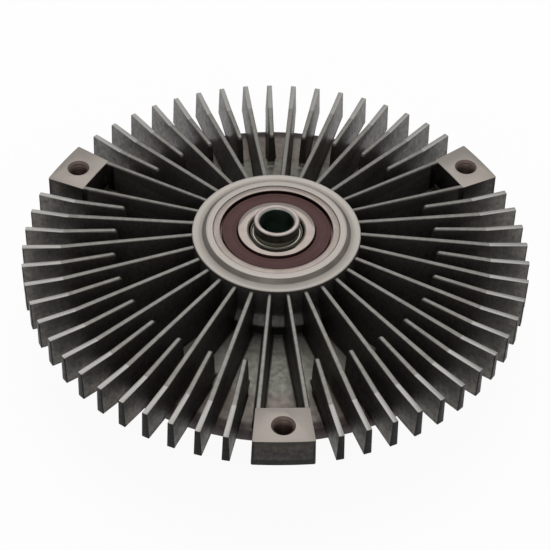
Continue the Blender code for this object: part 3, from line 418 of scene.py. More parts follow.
class Shading:
    """A node tree under construction. Its methods take lengths in millimetres."""

    def __init__(self, tree: bpy.types.NodeTree) -> None:
        """Hold the tree that nodes are added to."""
        self.tree = tree

    def node(
        self, kind: str, settings: Mapping[str, object], inputs: Mapping[int | str, object],
        output: int | str = 0,
    ) -> Value:
        """Add one node.

        Args:
            kind: The node's type.
            settings: Its settings, which are set first.
            inputs: The values or links of its sockets.
            output: The output that is handed back.

        Returns:
            The chosen output.
        """
        made = self.tree.nodes.new(kind)
        for key, setting in settings.items():
            setattr(made, key, setting)
        for key, entry in inputs.items():
            self.feed(made.inputs[key], entry)
        return Value(self, made.outputs[output])

    def feed(self, socket: bpy.types.NodeSocket, entry: object) -> None:
        """Link a value to a socket, or set a constant on it."""
        if isinstance(entry, Value):
            self.tree.links.new(entry.socket, socket)
        else:
            socket.default_value = entry

    def place(self) -> Value:
        """Give the point's place on the object, in metres."""
        return self.node("ShaderNodeTexCoord", {}, {}, "Object")

    def upwards(self) -> Value:
        """Give how far the surface faces up: 1 for a level top, 0 for a wall."""
        return self.height_of(self.node("ShaderNodeTexCoord", {}, {}, "Normal"))

    def height_of(self, vector: Value) -> Value:
        """Give the upright part of a vector."""
        return self.node("ShaderNodeSeparateXYZ", {}, {0: vector}, "Z")

    def radius_at(self, place: Value, centre: tuple[float, float] = (0.0, 0.0)) -> Value:
        """Give the distance from an upright axis.

        Args:
            place: The point's place.
            centre: Where the axis stands in plan.

        Returns:
            The distance in metres.
        """
        plan = {0: place, 1: (1.0, 1.0, 0.0)}
        flat = self.node("ShaderNodeVectorMath", {"operation": "MULTIPLY"}, plan)
        axis = (centre[0] * MM, centre[1] * MM, 0.0)
        return self.node("ShaderNodeVectorMath", {"operation": "DISTANCE"}, {0: flat, 1: axis}, "Value")

    def step(self, value: Value, low: float, high: float) -> Value:
        """Rise smoothly from 0 to 1 between two values."""
        ends = {"Value": value, "From Min": low, "From Max": high}
        return self.node("ShaderNodeMapRange", {"interpolation_type": "SMOOTHSTEP"}, ends)

    def past(self, length: Value, low: float, high: float) -> Value:
        """Rise smoothly from 0 to 1 between two lengths."""
        return self.step(length, low * MM, high * MM)

    def short_of(self, length: Value, low: float, high: float) -> Value:
        """Fall smoothly from 1 to 0 between two lengths."""
        return 1 - self.past(length, low, high)

    def close_to(self, length: Value, middle: float, reach: float, fade: float) -> Value:
        """Give 1 where a length is within reach of a middle one, and fall to 0 at the fade."""
        return self.short_of(abs(length - middle * MM), reach, fade)

    def level(self, value: Value, low: float, high: float) -> Value:
        """Spread the middle of a 0 to 1 pattern between two values."""
        ends = {"Value": value, "From Min": 0.3, "From Max": 0.7, "To Min": low, "To Max": high}
        return self.node("ShaderNodeMapRange", {}, ends)

    def noise(
        self, place: Value, grain: float, stretch: tuple[float, float, float] = (1, 1, 1),
        detail: float = 3.0,
    ) -> Value:
        """Give a soft random pattern.

        Args:
            place: The point's place.
            grain: The size of its spots.
            stretch: How much shorter the spots are along each axis; under 1 draws them out.
            detail: How many finer layers lie on it.

        Returns:
            The pattern, about 0.5 on average.
        """
        scaled = self.node("ShaderNodeMapping", {}, {"Vector": place, "Scale": stretch})
        spots = {"Vector": scaled, "Scale": 1.0 / (grain * MM), "Detail": detail}
        return self.node("ShaderNodeTexNoise", {}, spots)

    def rings(self, radius: Value, pitch: float) -> Value:
        """Give a random pattern of fine turned rings, about 0.5 on average, from their pitch."""
        marks = {"W": radius * (1.0 / (pitch * MM)), "Scale": 1.0, "Detail": 2.0}
        return self.node("ShaderNodeTexNoise", {"noise_dimensions": "1D"}, marks)

    def mix(self, share: Value | float, first: Value | Colour, second: Value | Colour) -> Value:
        """Mix two colours."""
        return self.node("ShaderNodeMix", {"data_type": "RGBA"}, {0: share, 6: first, 7: second}, 2)

    def blend(self, share: Value, first: Value | float, second: Value | float) -> Value:
        """Mix two numbers."""
        return self.node("ShaderNodeMix", {"data_type": "FLOAT"}, {0: share, 2: first, 3: second}, 0)

    def relief(self, height: Value, depth: float) -> Value:
        """Turn a 0 to 1 pattern into raised and sunk places of a real depth."""
        return self.node("ShaderNodeBump", {}, {"Height": height, "Distance": depth * MM, "Strength": 1.0})


@dataclass(frozen=True)
class Finish:
    """A surface finish: the base of all the object's materials."""

    name: str

    def shade(self, shading: Shading) -> dict[str, object]:
        """Give the shader's entries, by socket name."""
        raise NotImplementedError

    def material(self) -> bpy.types.Material:
        """Give the finish's material, which is made the first time."""
        known = bpy.data.materials.get(self.name)
        if known is not None:
            return known
        made = bpy.data.materials.new(self.name)
        made.use_nodes = True
        shading = Shading(made.node_tree)
        surface = made.node_tree.nodes["Principled BSDF"]
        for socket, entry in self.shade(shading).items():
            shading.feed(surface.inputs[socket], entry)
        return made


@dataclass(frozen=True)
class CastAluminium(Finish):
    """Darkened cast aluminium whose fin edges, lugs and boss were faced on a lathe."""

    name: str = "cast_aluminium_darkened"
    coat: Colour = tone(92, 90, 87)
    coat_warm: Colour = tone(97, 86, 77)
    # The coat's dark mottle, also used as painted shade near the boss's foot and on the fins' rounded upper
    # edges.
    coat_black_and_shade: Colour = tone(54, 52, 51)
    coat_worn: Colour = tone(112, 110, 106)
    # Painted bounce light from the floor on the fins beyond the rim.
    outer: Colour = tone(106, 103, 99)
    # Painted shade on the outward faces of the fin ends and lugs, lighter and warmer towards their top.
    outward: Colour = tone(44, 43, 42)
    outward_top: Colour = tone(56, 51, 47)
    edge: Colour = tone(121, 120, 115)
    faced: Colour = tone(142, 140, 137)
    lug: Colour = tone(128, 121, 115)
    boss: Colour = tone(158, 148, 141)
    boss_cool: Colour = tone(144, 141, 135)
    # Painted shade in the step of the boss's top.
    boss_step_shade: Colour = tone(68, 63, 56)
    # Painted reflection of the lamp on the floor between the fins, warmer beyond the floor's step.
    floor: Colour = tone(124, 124, 115)
    floor_warm: Colour = tone(121, 111, 105)
    # The casting's reddish tone round the rim, darkened as painted shade.
    rim: Colour = tone(56, 48, 48)
    # Painted shade at the lugs' feet and outer corners and at the boss's foot.
    corner: Colour = tone(21, 20, 20)
    hole: Colour = tone(96, 83, 76)
    # Painted shade deep in the tapped holes.
    hole_shade: Colour = tone(56, 45, 40)
    fin_level: float = 46.0
    faced_from: float = 80.6
    fin_tip: float = 94.5
    boss_r: float = 31.6
    boss_low: float = 52.5
    seat_r: float = 24.0
    step_at: float = 27.5
    floor_level: float = 34.0
    floor_dip: float = 43.7
    floor_step: float = 62.6
    foot_r: float = 35.4
    cone_r: float = 34.4
    cone_low: float = 37.2
    cone_top: float = 41.6
    rim_r: float = 80.5
    hole_at: float = 88.0
    hole_r: float = 4.2
    lug_half_width: float = 13.2
    lug_corner_r: float = 12.0
    lug_foot: float = 35.9
    lug_angles: tuple[float, ...] = tuple(math.radians(a) for a in (-90, 30, 150))

    def shade(self, shading: Shading) -> dict[str, object]:
        """Give the shader's entries: the dark coat first, then each bright place over it, with painted
        shade and painted light among them.
        """
        past, short_of, close_to, step = shading.past, shading.short_of, shading.close_to, shading.step
        level, mix = shading.level, shading.mix
        place = shading.place()
        radius = shading.radius_at(place)
        height = shading.height_of(place)
        up = shading.upwards()

        top = step(up, 0.80, 0.96)
        at_level = close_to(height, self.fin_level, 0.10, 0.22)
        faced = top * at_level * past(radius, self.faced_from - 0.4, self.faced_from)
        beyond_boss = past(radius, self.boss_r, self.boss_r + 0.1)
        boss = (1 - beyond_boss) * past(height, self.boss_low, self.boss_low + 0.2)
        boss = boss * step(up, 0.15, 0.3).higher_of(short_of(radius, self.seat_r, self.seat_r + 0.6))
        above = past(height, self.fin_level - 2.5, self.fin_level - 1.5)
        worn = short_of(radius, 34, 58) * 0.1
        slope = step(up + worn, 0.92, 0.998) * above * beyond_boss * (1 - faced)
        # The floor between the fins is painted lighter as a painted reflection of the lamp. Painted shade
        # fades it towards the boss, a thin darker ring marks floor_dip, and the cone at the boss's foot
        # takes half of it as painted light.
        low = short_of(height, self.floor_level + 0.1, self.floor_level + 0.5)
        floor_light_share = 0.62 + 0.38 * past(radius, self.floor_dip - 0.1, self.floor_dip + 3.3)
        floor_light_share = floor_light_share - 0.12 * close_to(radius, self.floor_dip, 0.2, 0.7)
        ground = low * top.higher_of(close_to(radius, self.floor_step, 0.4, 0.8))
        ground = ground * floor_light_share * past(radius, self.foot_r - 0.6, self.foot_r + 2.1)
        cone = short_of(radius, self.cone_r, self.cone_r + 0.5) * step(up, 0.25, 0.45)
        cone = cone * past(height, self.cone_low, self.cone_low + 1.4)
        cone = cone * short_of(height, self.cone_top - 2.8, self.cone_top)
        ground = ground.higher_of(cone * 0.5)
        # A dark reddish band round the rim: the casting's reddish tone, darkened as painted shade.
        on_rim = low * past(radius, self.rim_r - 5, self.rim_r - 2.5)
        on_rim = on_rim * short_of(radius, self.rim_r + 1, self.rim_r + 2)
        hole, lug, lug_rim = self._lug_masks(shading, place, height)

        wide = shading.noise(place, 42, detail=2.0)
        mid = shading.noise(place, 7)
        mottle = shading.noise(place, 1.9, detail=4.0)
        grain = shading.noise(place, 0.45, (1, 1, 0.22))
        sand = shading.noise(place, 0.28)
        turned = shading.rings(radius, 0.32)
        soft_turned = shading.rings(radius, 0.8)

        casting = mix(level(wide, 0.0, 0.8), self.coat, self.coat_warm)
        # Beyond the rim the fins are painted lighter: painted bounce light from the floor.
        rim_bounce_light = past(radius, self.rim_r - 3, self.rim_r + 5)
        casting = mix(rim_bounce_light * level(mid, 0.5, 0.9), casting, self.outer)
        casting = mix(level(mottle, 0.0, 0.75), casting, self.coat_black_and_shade)
        casting = mix(level(grain, 0.0, 0.4), casting, self.coat_worn)
        # The outward faces of the fin ends and lugs are painted near black as painted shade, lighter and
        # warmer towards their top, and darkest at the lugs' feet and outer corners.
        upright = 1 - step(abs(up), 0.5, 0.8)
        outward = past(radius, self.fin_tip, self.fin_tip + 0.3).higher_of(lug) * (1 - faced) * upright
        upper = past(height, self.fin_level - 7, self.fin_level - 2)
        dark_wall = mix(upper, self.outward, self.outward_top)
        casting = mix(outward * level(mottle, 0.75, 0.95), casting, dark_wall)
        casting = mix(outward * lug_rim * 0.9, casting, self.corner)
        # Painted shade darkens the floor near the boss and, near black, the boss's foot where it meets the
        # floor.
        casting = mix(short_of(radius, 35, 44) * 0.4, casting, self.coat_black_and_shade)
        foot = short_of(radius, self.foot_r, self.foot_r + 1) * short_of(height, 37, 42)
        casting = mix(foot * (1 - above) * 0.8, casting, self.corner)
        # The rounded upper edges between the fins' tops and sides are painted darker: painted shade.
        brow = above * step(up, 0.05, 0.2) * (1 - top)
        casting = mix(brow * 0.6, casting, self.coat_black_and_shade)
        # The floor's painted reflection, warmer beyond its step and mottled with the casting.
        warm = past(radius, self.floor_step - 1, self.floor_step + 2)
        floor_sheen = mix(warm * level(mid, 0.5, 1.0), self.floor, self.floor_warm)
        floor_sheen = mix(level(mottle, 0.0, 0.3), floor_sheen, casting)
        colour = mix(ground, casting, floor_sheen)
        colour = mix(on_rim * level(mid, 0.95, 0.7), colour, self.rim)
        colour = mix(slope * level(mottle, 1.0, 0.6) * level(mid, 1.0, 0.85), colour, self.edge)
        colour = mix(faced, colour, mix(level(turned, 0.0, 0.35), self.faced, self.edge))
        colour = mix(faced * lug, colour, mix(level(sand, 0.0, 0.3), self.lug, self.edge))
        ring_tone = mix(level(soft_turned, 0.0, 1.0), self.boss, self.boss_cool)
        ring_tone = mix(level(turned, 0.0, 0.5), ring_tone, self.edge)
        # The step in the boss's top is painted dark on its wall and at its foot: painted shade.
        on_step = close_to(radius, self.step_at, 1.2, 2.0) * (1 - step(up, 0.86, 0.995))
        step_foot = past(radius, self.step_at - 0.4, self.step_at)
        step_foot = step_foot * short_of(radius, self.step_at + 0.1, self.step_at + 2.7)
        on_step = on_step.higher_of(step_foot * 0.75)
        ring_tone = mix(on_step * level(mid, 0.65, 0.8), ring_tone, self.boss_step_shade)
        colour = mix(boss, colour, ring_tone)
        # The tapped holes are painted darker with depth: painted shade.
        deep = short_of(height, self.fin_level - 4.5, self.fin_level - 1.2)
        colour = mix(hole, colour, mix(deep, self.hole, self.hole_shade))

        machined = faced.higher_of(boss)
        relief = shading.blend(machined, grain * 0.35 + mottle, turned * 0.25)
        roughness = shading.blend(slope, level(mottle, 0.40, 0.52), 0.42)
        return {
            "Base Color": colour,
            "Roughness": shading.blend(machined, roughness, level(turned, 0.30, 0.42)),
            "Metallic": level(grain, 0.95, 0.8),
            "Specular IOR Level": 0.35,
            "Normal": shading.relief(relief, 0.09),
        }

    def _lug_masks(self, shading: Shading, place: Value, height: Value) -> tuple[Value, Value, Value]:
        """Mark the lugs' holes, the lugs, and their feet and corners.

        Args:
            shading: The node tree.
            place: The point's place.
            height: The point's height.

        Returns:
            The masks of the holes' walls, of the lugs, and of their feet and outer corners.
        """
        centres = [(self.hole_at * math.cos(a), self.hole_at * math.sin(a)) for a in self.lug_angles]
        nearest = shading.radius_at(place, centres[0])
        for centre in centres[1:]:
            nearest = nearest.lower_of(shading.radius_at(place, centre))
        hole = shading.short_of(nearest, self.hole_r, self.hole_r + 0.15)
        lug = shading.short_of(nearest, self.lug_half_width, self.lug_half_width + 1)
        foot = shading.short_of(height, self.lug_foot, self.lug_foot + 0.8)
        corner = shading.past(nearest, self.lug_corner_r, self.lug_corner_r + 0.7)
        return hole, lug, foot.higher_of(corner)


@dataclass(frozen=True)
class TurnedSteel(Finish):
    """Bare steel off a lathe or a grinder, with fine rings about the shaft's axis."""

    name: str
    bright: Colour
    dull: Colour
    ring_pitch: float = 0.30
    rough_low: float = 0.26
    rough_high: float = 0.38

    def shade(self, shading: Shading) -> dict[str, object]:
        """Give the shader's entries: metal with ring-shaped tool marks and faint stains."""
        place = shading.place()
        marks = shading.rings(shading.radius_at(place), self.ring_pitch)
        height_marks = shading.noise(place, 0.5, (0.05, 0.05, 1.0))
        stain = shading.noise(place, 4.0)
        colour = shading.mix(shading.level(marks, 0.0, 0.5), self.bright, self.dull)
        return {
            "Base Color": shading.mix(shading.level(stain, 0.0, 0.35), colour, self.dull),
            "Metallic": 1.0,
            "Roughness": shading.level(stain, self.rough_low, self.rough_high),
            "Normal": shading.relief(marks + height_marks, 0.006),
        }


@dataclass(frozen=True)
class OuterRingSteel(TurnedSteel):
    """Ground ring steel with dark grease in the groove round the seal."""

    grease: Colour = tone(84, 68, 64)
    groove_inner: float = 20.3
    groove_outer: float = 21.2
    groove_top: float = 54.4

    def shade(self, shading: Shading) -> dict[str, object]:
        """Give the shader's entries: the ground steel, and grease where the seal sits."""
        entries = super().shade(shading)
        place = shading.place()
        radius = shading.radius_at(place)
        within = shading.past(radius, self.groove_inner - 0.3, self.groove_inner)
        within = within * shading.short_of(radius, self.groove_outer, self.groove_outer + 0.1)
        below = shading.short_of(shading.height_of(place), self.groove_top, self.groove_top + 0.15)
        entries["Base Color"] = shading.mix(within * below, entries["Base Color"], self.grease)
        return entries


@dataclass(frozen=True)
class SpigotSteel(TurnedSteel):
    """Turned steel, darker on its upright walls, with painted shade in its groove, a painted reflection low
    on its spigot and painted light in its bore.
    """

    dark_wall: Colour = tone(36, 40, 33)
    # Painted reflection of the bright rings low on the spigot's wall.
    wall_foot_reflection: Colour = tone(182, 182, 168)
    collar: Colour = tone(84, 81, 75)
    # The bore's tones: painted light, lighter deep in the bore than at its mouth.
    bore: Colour = tone(160, 178, 168)
    bore_mouth: Colour = tone(112, 121, 115)
    bore_r: float = 6.6
    collar_r: float = 8.7
    wall_r: float = 9.85
    wall_low: float = 52.0
    groove_top: float = 53.9
    reflection_top: float = 55.5

    def shade(self, shading: Shading) -> dict[str, object]:
        """Give the shader's entries: bright turned faces with dark walls, painted shade in the groove, a
        painted reflection low on the wall and painted light in the bore.
        """
        entries = super().shade(shading)
        past, short_of, mix = shading.past, shading.short_of, shading.mix
        place = shading.place()
        radius = shading.radius_at(place)
        height = shading.height_of(place)
        # Below the groove's top, level faces take the dark tone too: painted shade in the groove round the
        # shaft.
        in_groove = short_of(height, self.groove_top, self.groove_top + 0.2)
        wall = (1 - shading.step(shading.upwards(), 0.25, 0.6)).higher_of(in_groove)
        wall = wall * past(height, self.wall_low - 0.2, self.wall_low)
        wall = wall * short_of(radius, self.wall_r - 0.1, self.wall_r)
        bore = short_of(radius, self.bore_r - 0.25, self.bore_r)
        streaks = shading.noise(place, 3.0, (1, 1, 0.4))
        # The spigot's wall is painted lighter towards its foot: a painted reflection of the bright rings
        # below it.
        dark_wall = mix(past(height, self.reflection_top - 0.8, self.reflection_top), self.wall_foot_reflection, self.dark_wall)
        dark_wall = mix(past(radius, self.collar_r, self.collar_r + 0.2), dark_wall, self.collar)
        # The bore is painted lighter below its mouth: painted light deep in the bore.
        tube = mix(past(height, 47.0, 55.0), self.bore, self.bore_mouth)
        colour = mix(wall * shading.level(streaks, 0.85, 1.0), entries["Base Color"], dark_wall)
        entries["Base Color"] = mix(bore, colour, tube)
        return entries


@dataclass(frozen=True)
class Moulded(Finish):
    """Moulded rubber or nylon with a fine grain, faint mould rings and a dusty bloom."""

    name: str
    body: Colour
    bloom: Colour
    rough: float
    gloss: float = 0.22
    ring_pitch: float = 1.1

    def shade(self, shading: Shading) -> dict[str, object]:
        """Give the shader's entries: a dark body with faint mould rings."""
        place = shading.place()
        marks = shading.rings(shading.radius_at(place), self.ring_pitch)
        grain = shading.noise(place, 0.5)
        bloom = shading.noise(place, 7.0)
        colour = shading.mix(shading.level(bloom, 0.0, 0.55), self.body, self.bloom)
        return {
            "Base Color": shading.mix(shading.level(marks, 0.0, 0.30), colour, self.bloom),
            "Roughness": shading.level(grain, self.rough - 0.07, self.rough + 0.10),
            "Specular IOR Level": self.gloss,
            "Normal": shading.relief(grain + marks, 0.02),
        }


@dataclass(frozen=True)
class RolledMetal(Finish):
    """Rolled or plated sheet metal with fine scratches."""

    name: str
    body: Colour
    worn: Colour
    rough: float
    grain: float = 2.0

    def shade(self, shading: Shading) -> dict[str, object]:
        """Give the shader's entries: metal with stretched scratches and soft stains."""
        place = shading.place()
        scratches = shading.noise(place, self.grain, (1.0, 9.0, 9.0))
        stain = shading.noise(place, 6.0)
        return {
            "Base Color": shading.mix(shading.level(stain, 0.0, 0.8), self.body, self.worn),
            "Metallic": 1.0,
            "Roughness": shading.level(scratches, self.rough - 0.06, self.rough + 0.10),
            "Normal": shading.relief(scratches, 0.006),
        }


CASTING = CastAluminium()
SHAFT_STEEL = SpigotSteel("turned_shaft_steel", tone(154, 145, 141), tone(122, 115, 111))
INNER_RING_STEEL = TurnedSteel(
    "inner_ring_steel", tone(136, 127, 122), tone(110, 102, 97), 0.45, 0.10, 0.16
)
OUTER_RING_STEEL = OuterRingSteel(
    "outer_ring_steel", tone(132, 122, 117), tone(108, 100, 95), 0.45, 0.24, 0.34
)
BALL_STEEL = TurnedSteel("ball_steel", tone(176, 170, 166), tone(150, 145, 141), 0.45, 0.16, 0.24)
SEAL_RUBBER = Moulded("seal_rubber_brown", tone(66, 40, 39), tone(84, 57, 54), 0.58)
BLACK_RUBBER = Moulded("sealing_rubber_black", tone(30, 30, 31), tone(46, 45, 44), 0.6)
CAGE_NYLON = Moulded("cage_nylon_brown", tone(104, 76, 52), tone(128, 98, 70), 0.42)
ROTOR_METAL = TurnedSteel(
    "turned_rotor_aluminium", tone(206, 206, 206), tone(168, 168, 168), 0.5, 0.3, 0.42
)
PLATE_STEEL = RolledMetal("rolled_plate_steel", tone(186, 186, 185), tone(150, 150, 149), 0.34)
COIL_METAL = RolledMetal("bimetal_strip", tone(190, 180, 160), tone(150, 140, 122), 0.32, 1.2)
ZINC_PLATE = RolledMetal("zinc_plate", tone(190, 192, 192), tone(158, 160, 158), 0.30, 0.9)


# Pieces


def dress(piece: Piece, finish: Finish) -> None:
    """Give a finished piece its finish in place of any other."""
    piece.data.materials.clear()
    piece.data.materials.append(finish.material())


def place_piece(piece: Piece, finish: Finish, body: str, node: str) -> None:
    """Dress a finished piece and tie it to the frame.

    Args:
        piece: The finished piece.
        finish: Its surface finish.
        body: The body that it rides on.
        node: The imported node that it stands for.
    """
    dress(piece, finish)
    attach(piece, body)
    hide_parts(node)
    LOG.info("%s: %d faces, rides on %s", piece.name, len(piece.data.polygons), body)


@dataclass
class RearHousing:
    """The finned casting on the engine's side, with its lugs, bearing boss and working chamber."""

    fin_places: int = 60
    lug_count: int = 3
    first_lug: float = math.radians(-90)
    boss_r: float = 31.5
    boss_top: float = 54.9
    boss_inner: float = 25.0
    flange_top: float = 53.55
    seat_r: float = 23.7
    seat_low: float = 40.1
    seat_bevel: float = 0.15
    seat_hole_r: float = 20.5
    tip_r: float = 95.0
    flat_r: float = 80.8
    rim_top_r: float = 80.3
    rim_r: float = 81.2
    lip_r: float = 66.0
    lip_low: float = 18.3
    lip_top: float = 19.5
    cover_r: float = 68.2
    cover_top: float = 23.1
    chamber_r: float = 65.5
    chamber_top: float = 30.0
    lands: tuple[float, ...] = (56.05, 48.55, 41.05)
    land_half: float = 0.9
    land_low: float = 26.5
    fin_level: float = 46.0
    fin_rise: float = 6.1
    fin_foot: float = 31.9
    overhang_low: float = 33.3
    floor: float = 34.0
    outer_floor: float = 33.4
    slab_half: float = 3.0
    half_at_floor: float = 1.45
    draft: float = 0.0375
    short_from: float = 60.0
    nose: float = 1.5
    toe: float = 2.4
    edge_rounding: float = 0.5
    root_rounding: float = 0.9
    lug_inner_r: float = 80.0
    lug_inner_half: float = 9.4
    lug_outer_half: float = 10.9
    lug_outer_r: float = 95.3
    lug_face_r: float = 165.0
    lug_draft: float = 0.35
    foot_low: float = 31.2
    foot_top: float = 35.0
    hole_at: float = 88.0
    thread_minor: float = 3.4
    thread_major: float = 3.98
    thread_pitch: float = 1.25
    steps: int = 144

    def outline(self) -> list[Corner]:
        """Give the turned outline: boss, floor, rim, rolled lip, chamber with its lands, bearing seat."""
        start = (self.boss_inner, self.boss_top)
        rows = [
            start, (26.4, self.boss_top, 0.5, 4), (27.7, 53.2, 0.25, 2),
            (30.4, self.flange_top, 0.5), (self.boss_r, self.flange_top, 0.4),
            (31.7, 41.6, 0.9, 4), (34.5, 37.8, 0.5), (35.1, self.floor, 0.6),
            (61.4, self.floor, 0.7), (63.8, self.outer_floor, 0.7),
            (self.rim_top_r, self.outer_floor, 0.4), (self.rim_r, 31.6, 0.45), (self.rim_r, 29.0, 0.45),
            (71.5, self.lip_low, 0.9), (self.lip_r, self.lip_low, 0.35), (self.lip_r, self.lip_top, 0.2, 2),
            (self.cover_r, self.lip_top), (self.cover_r, self.cover_top),
            (self.chamber_r, self.cover_top), (self.chamber_r, self.chamber_top, 0.4),
        ]
        for land in self.lands:
            outer, inner = land + self.land_half, land - self.land_half
            rows += [(outer, self.chamber_top), (outer, self.land_low)]
            rows += [(inner, self.land_low), (inner, self.chamber_top)]
        rows += [
            (self.boss_inner, self.chamber_top, 0.5), (self.boss_inner, 36.0, 0.5),
            (self.seat_hole_r, 38.3, 0.3), (self.seat_hole_r, self.seat_low),
            (self.seat_r, self.seat_low), (self.seat_r, self.boss_top - self.seat_bevel),
            (self.seat_r + self.seat_bevel, self.boss_top), start,
        ]
        return profile(*rows)

    def fin_top(self, radius: float) -> float:
        """Give the height of a fin's top edge, which rises from the faced level to the boss."""
        rise = max(0.0, self.flat_r - radius) / (self.flat_r - self.boss_r)
        return self.fin_level + self.fin_rise * rise

    def fin_half(self, height: float) -> float:
        """Give half the thickness of a fin at a height."""
        return self.half_at_floor - self.draft * (height - self.floor)

    def fin_outline(self, inner: float, outer: float, nose: float) -> list[Corner]:
        """Give a fin seen from its side.

        Args:
            inner: The radius of its inner end.
            outer: The radius of its outer end.
            nose: The rounding of its inner top corner, or 0.

        Returns:
            The corners, ending where they start.
        """
        foot, rim = self.fin_foot, self.rim_top_r
        start = (rim - 4, foot)
        heel = self._toe(inner) if nose else [(inner, foot)]
        rows = [start, *heel, (inner, self.fin_top(inner), nose, 7)]
        if outer > self.flat_r:
            rows += [(self.flat_r, self.fin_level), (outer, self.fin_level)]
            rows += [(outer, self.overhang_low), (rim, self.overhang_low - 0.3)]
        else:
            rows.append((outer, self.fin_top(outer)))
        return profile(*rows, (rim - 1.5, foot), start, depth=-self.slab_half)

    def _toe(self, inner: float) -> list[tuple[float, float]]:
        """Give the corners of a short fin's toe, which sweeps down into the floor."""
        sweep = ((1.0, 0.0), (0.5, 0.13), (0.13, 0.5), (0.0, 1.0))
        swept = [(inner - self.toe * out, self.floor + self.toe * up) for out, up in sweep]
        return [(inner - self.toe, self.fin_foot), *swept]

    def model_fin(self, name: str, inner: float, outer: float, nose: float = 0.0) -> Piece:
        """Model one fin along +X: a slab planed to its taper, with a rounded root and cast top edges.

        Args:
            name: The fin's name.
            inner: The radius of its inner end.
            outer: The radius of its outer end.
            nose: The rounding of its inner top corner, or 0.

        Returns:
            The fin.
        """
        outline = self.fin_outline(inner, outer, nose)
        bench = Bench.slab(name, outline, (0, 2 * self.slab_half, 0))
        for sign in (1, -1):
            bench.plane_off((0, sign * self.half_at_floor, self.floor), (0, sign, self.draft))
        flat, level, fine = self.flat_r, self.fin_level, 0.4

        def is_cast_edge(at: Vector, way: Vector) -> bool:
            """Say whether an edge runs along the fin's top, inside the faced ring."""
            return abs(at.y) > fine and abs(way.y) < 0.5 and at.z > level - 2.2 and at.x < flat - fine

        def is_faced_edge(at: Vector, way: Vector) -> bool:
            """Say whether an edge bounds the faced end of the fin's top."""
            return at.z > level - 0.01 and at.x > flat + fine and abs(way.z) < 0.1

        def is_overhang_edge(at: Vector, way: Vector) -> bool:
            """Say whether an edge bounds the underside of the fin's overhang."""
            return at.x > self.rim_top_r and at.z < self.floor and abs(way.z) < 0.5

        bench.pick(Part.EDGES, is_cast_edge)
        bench.bevel(self.edge_rounding, 3)
        if outer > flat:
            bench.pick(Part.EDGES, lambda at, way: at.x > outer - fine and abs(way.z) > 0.9)
            bench.bevel(0.22)
            bench.pick(Part.EDGES, is_faced_edge)
            bench.bevel(0.15, 1)
            bench.pick(Part.EDGES, is_overhang_edge)
            bench.bevel(0.25)
        self._round_root(bench, self.outer_floor if nose else self.floor)
        return bench.finish()

    def _round_root(self, bench: Bench, floor: float) -> None:
        """Flare a fin's foot into the floor, as a casting's does.

        Args:
            bench: The fin on the bench.
            floor: The height of the floor that it stands on.
        """
        radius, reach = self.root_rounding, self.rim_top_r - 1
        flared = (0.45 * radius, 0.15 * radius, 0.0)
        for height in (radius, *flared):
            bench.slice_at(floor + height)
        for height in (*flared, self.fin_foot - floor):
            level = floor + height
            rest = radius - max(height, 0.0)
            flare = radius - math.sqrt(radius**2 - rest**2)
            half = self.fin_half(level)
            bench.pick(Part.POINTS, lambda at, _: abs(at.z - level) < 0.01 and at.x < reach)
            bench.widen((half + flare) / half)

    def model_lug(self, name: str) -> Piece:
        """Model one fan lug along +X: a block with draft, a turned outer face and a tapped hole."""
        low, half, inner = self.overhang_low, self.lug_outer_half, self.lug_inner_r
        steps = 8
        plan = [(inner, 0.0), (inner, self.lug_inner_half, 0.3)]
        for i in range(steps + 1):
            y = half * (1 - 2 * i / steps)
            x = self.lug_outer_r - y * y / (2 * self.lug_face_r)
            plan.append((x, y, 0.6) if i in (0, steps) else (x, y))
        plan += [(inner, -self.lug_inner_half, 0.3), (inner, 0.0)]
        outline = [Corner(metres(x, y, low), *curve) for x, y, *curve in plan]
        bench = Bench.slab(name, outline, (0, 0, self.fin_level - low))
        bench.pick(Part.POINTS, lambda at, _: at.z < low + 0.1)
        bench.widen(1 + self.lug_draft / half)
        bench.pick(Part.EDGES, lambda at, _: at.z < low + 0.1)
        bench.bevel(0.5, 3)
        bench.pick(Part.EDGES, lambda at, _: at.z > self.fin_level - 0.1)
        bench.bevel(0.14)
        lug = bench.finish()
        cut_with(lug, self._tap())
        return joined(name, [lug, self._lug_foot()])

    def _lug_foot(self) -> Piece:
        """Model the fillet that ties a lug's inner foot to the rim."""
        inner, half = self.rim_top_r - 2.0, self.lug_inner_half
        high = (self.lug_inner_r + 1.0, half, self.foot_top)
        bench = Bench.block("lug_foot", (inner, -half, self.foot_low), high)
        bench.pick(Part.POINTS, lambda at, _: at.x < inner + 0.1 and at.z > self.floor)
        bench.move((0, 0, self.outer_floor - 0.1 - self.foot_top))
        bench.pick(Part.EDGES, lambda at, way: abs(way.y) > 0.9 and at.x > inner + 0.1)
        bench.bevel(0.5, 3)
        return bench.finish()

    def _tap(self) -> Piece:
        """Model the cutter of a tapped hole: a chamfer, then thread grooves to the far side."""
        axis, level = self.hole_at, self.fin_level
        crest, root = axis + self.thread_minor, axis + self.thread_major
        rows = [(axis, level + 1), (root + 1.3, level + 1), (crest, level - 0.9)]
        height = level - 1.1
        while height > self.overhang_low - 1.5:
            rows += [(crest, height), (root, height - 0.5 * self.thread_pitch)]
            height -= self.thread_pitch
        rows += [(crest, height), (axis, height)]
        return Bench.turning("tap", profile(*rows), 40, (axis, 0, 0))

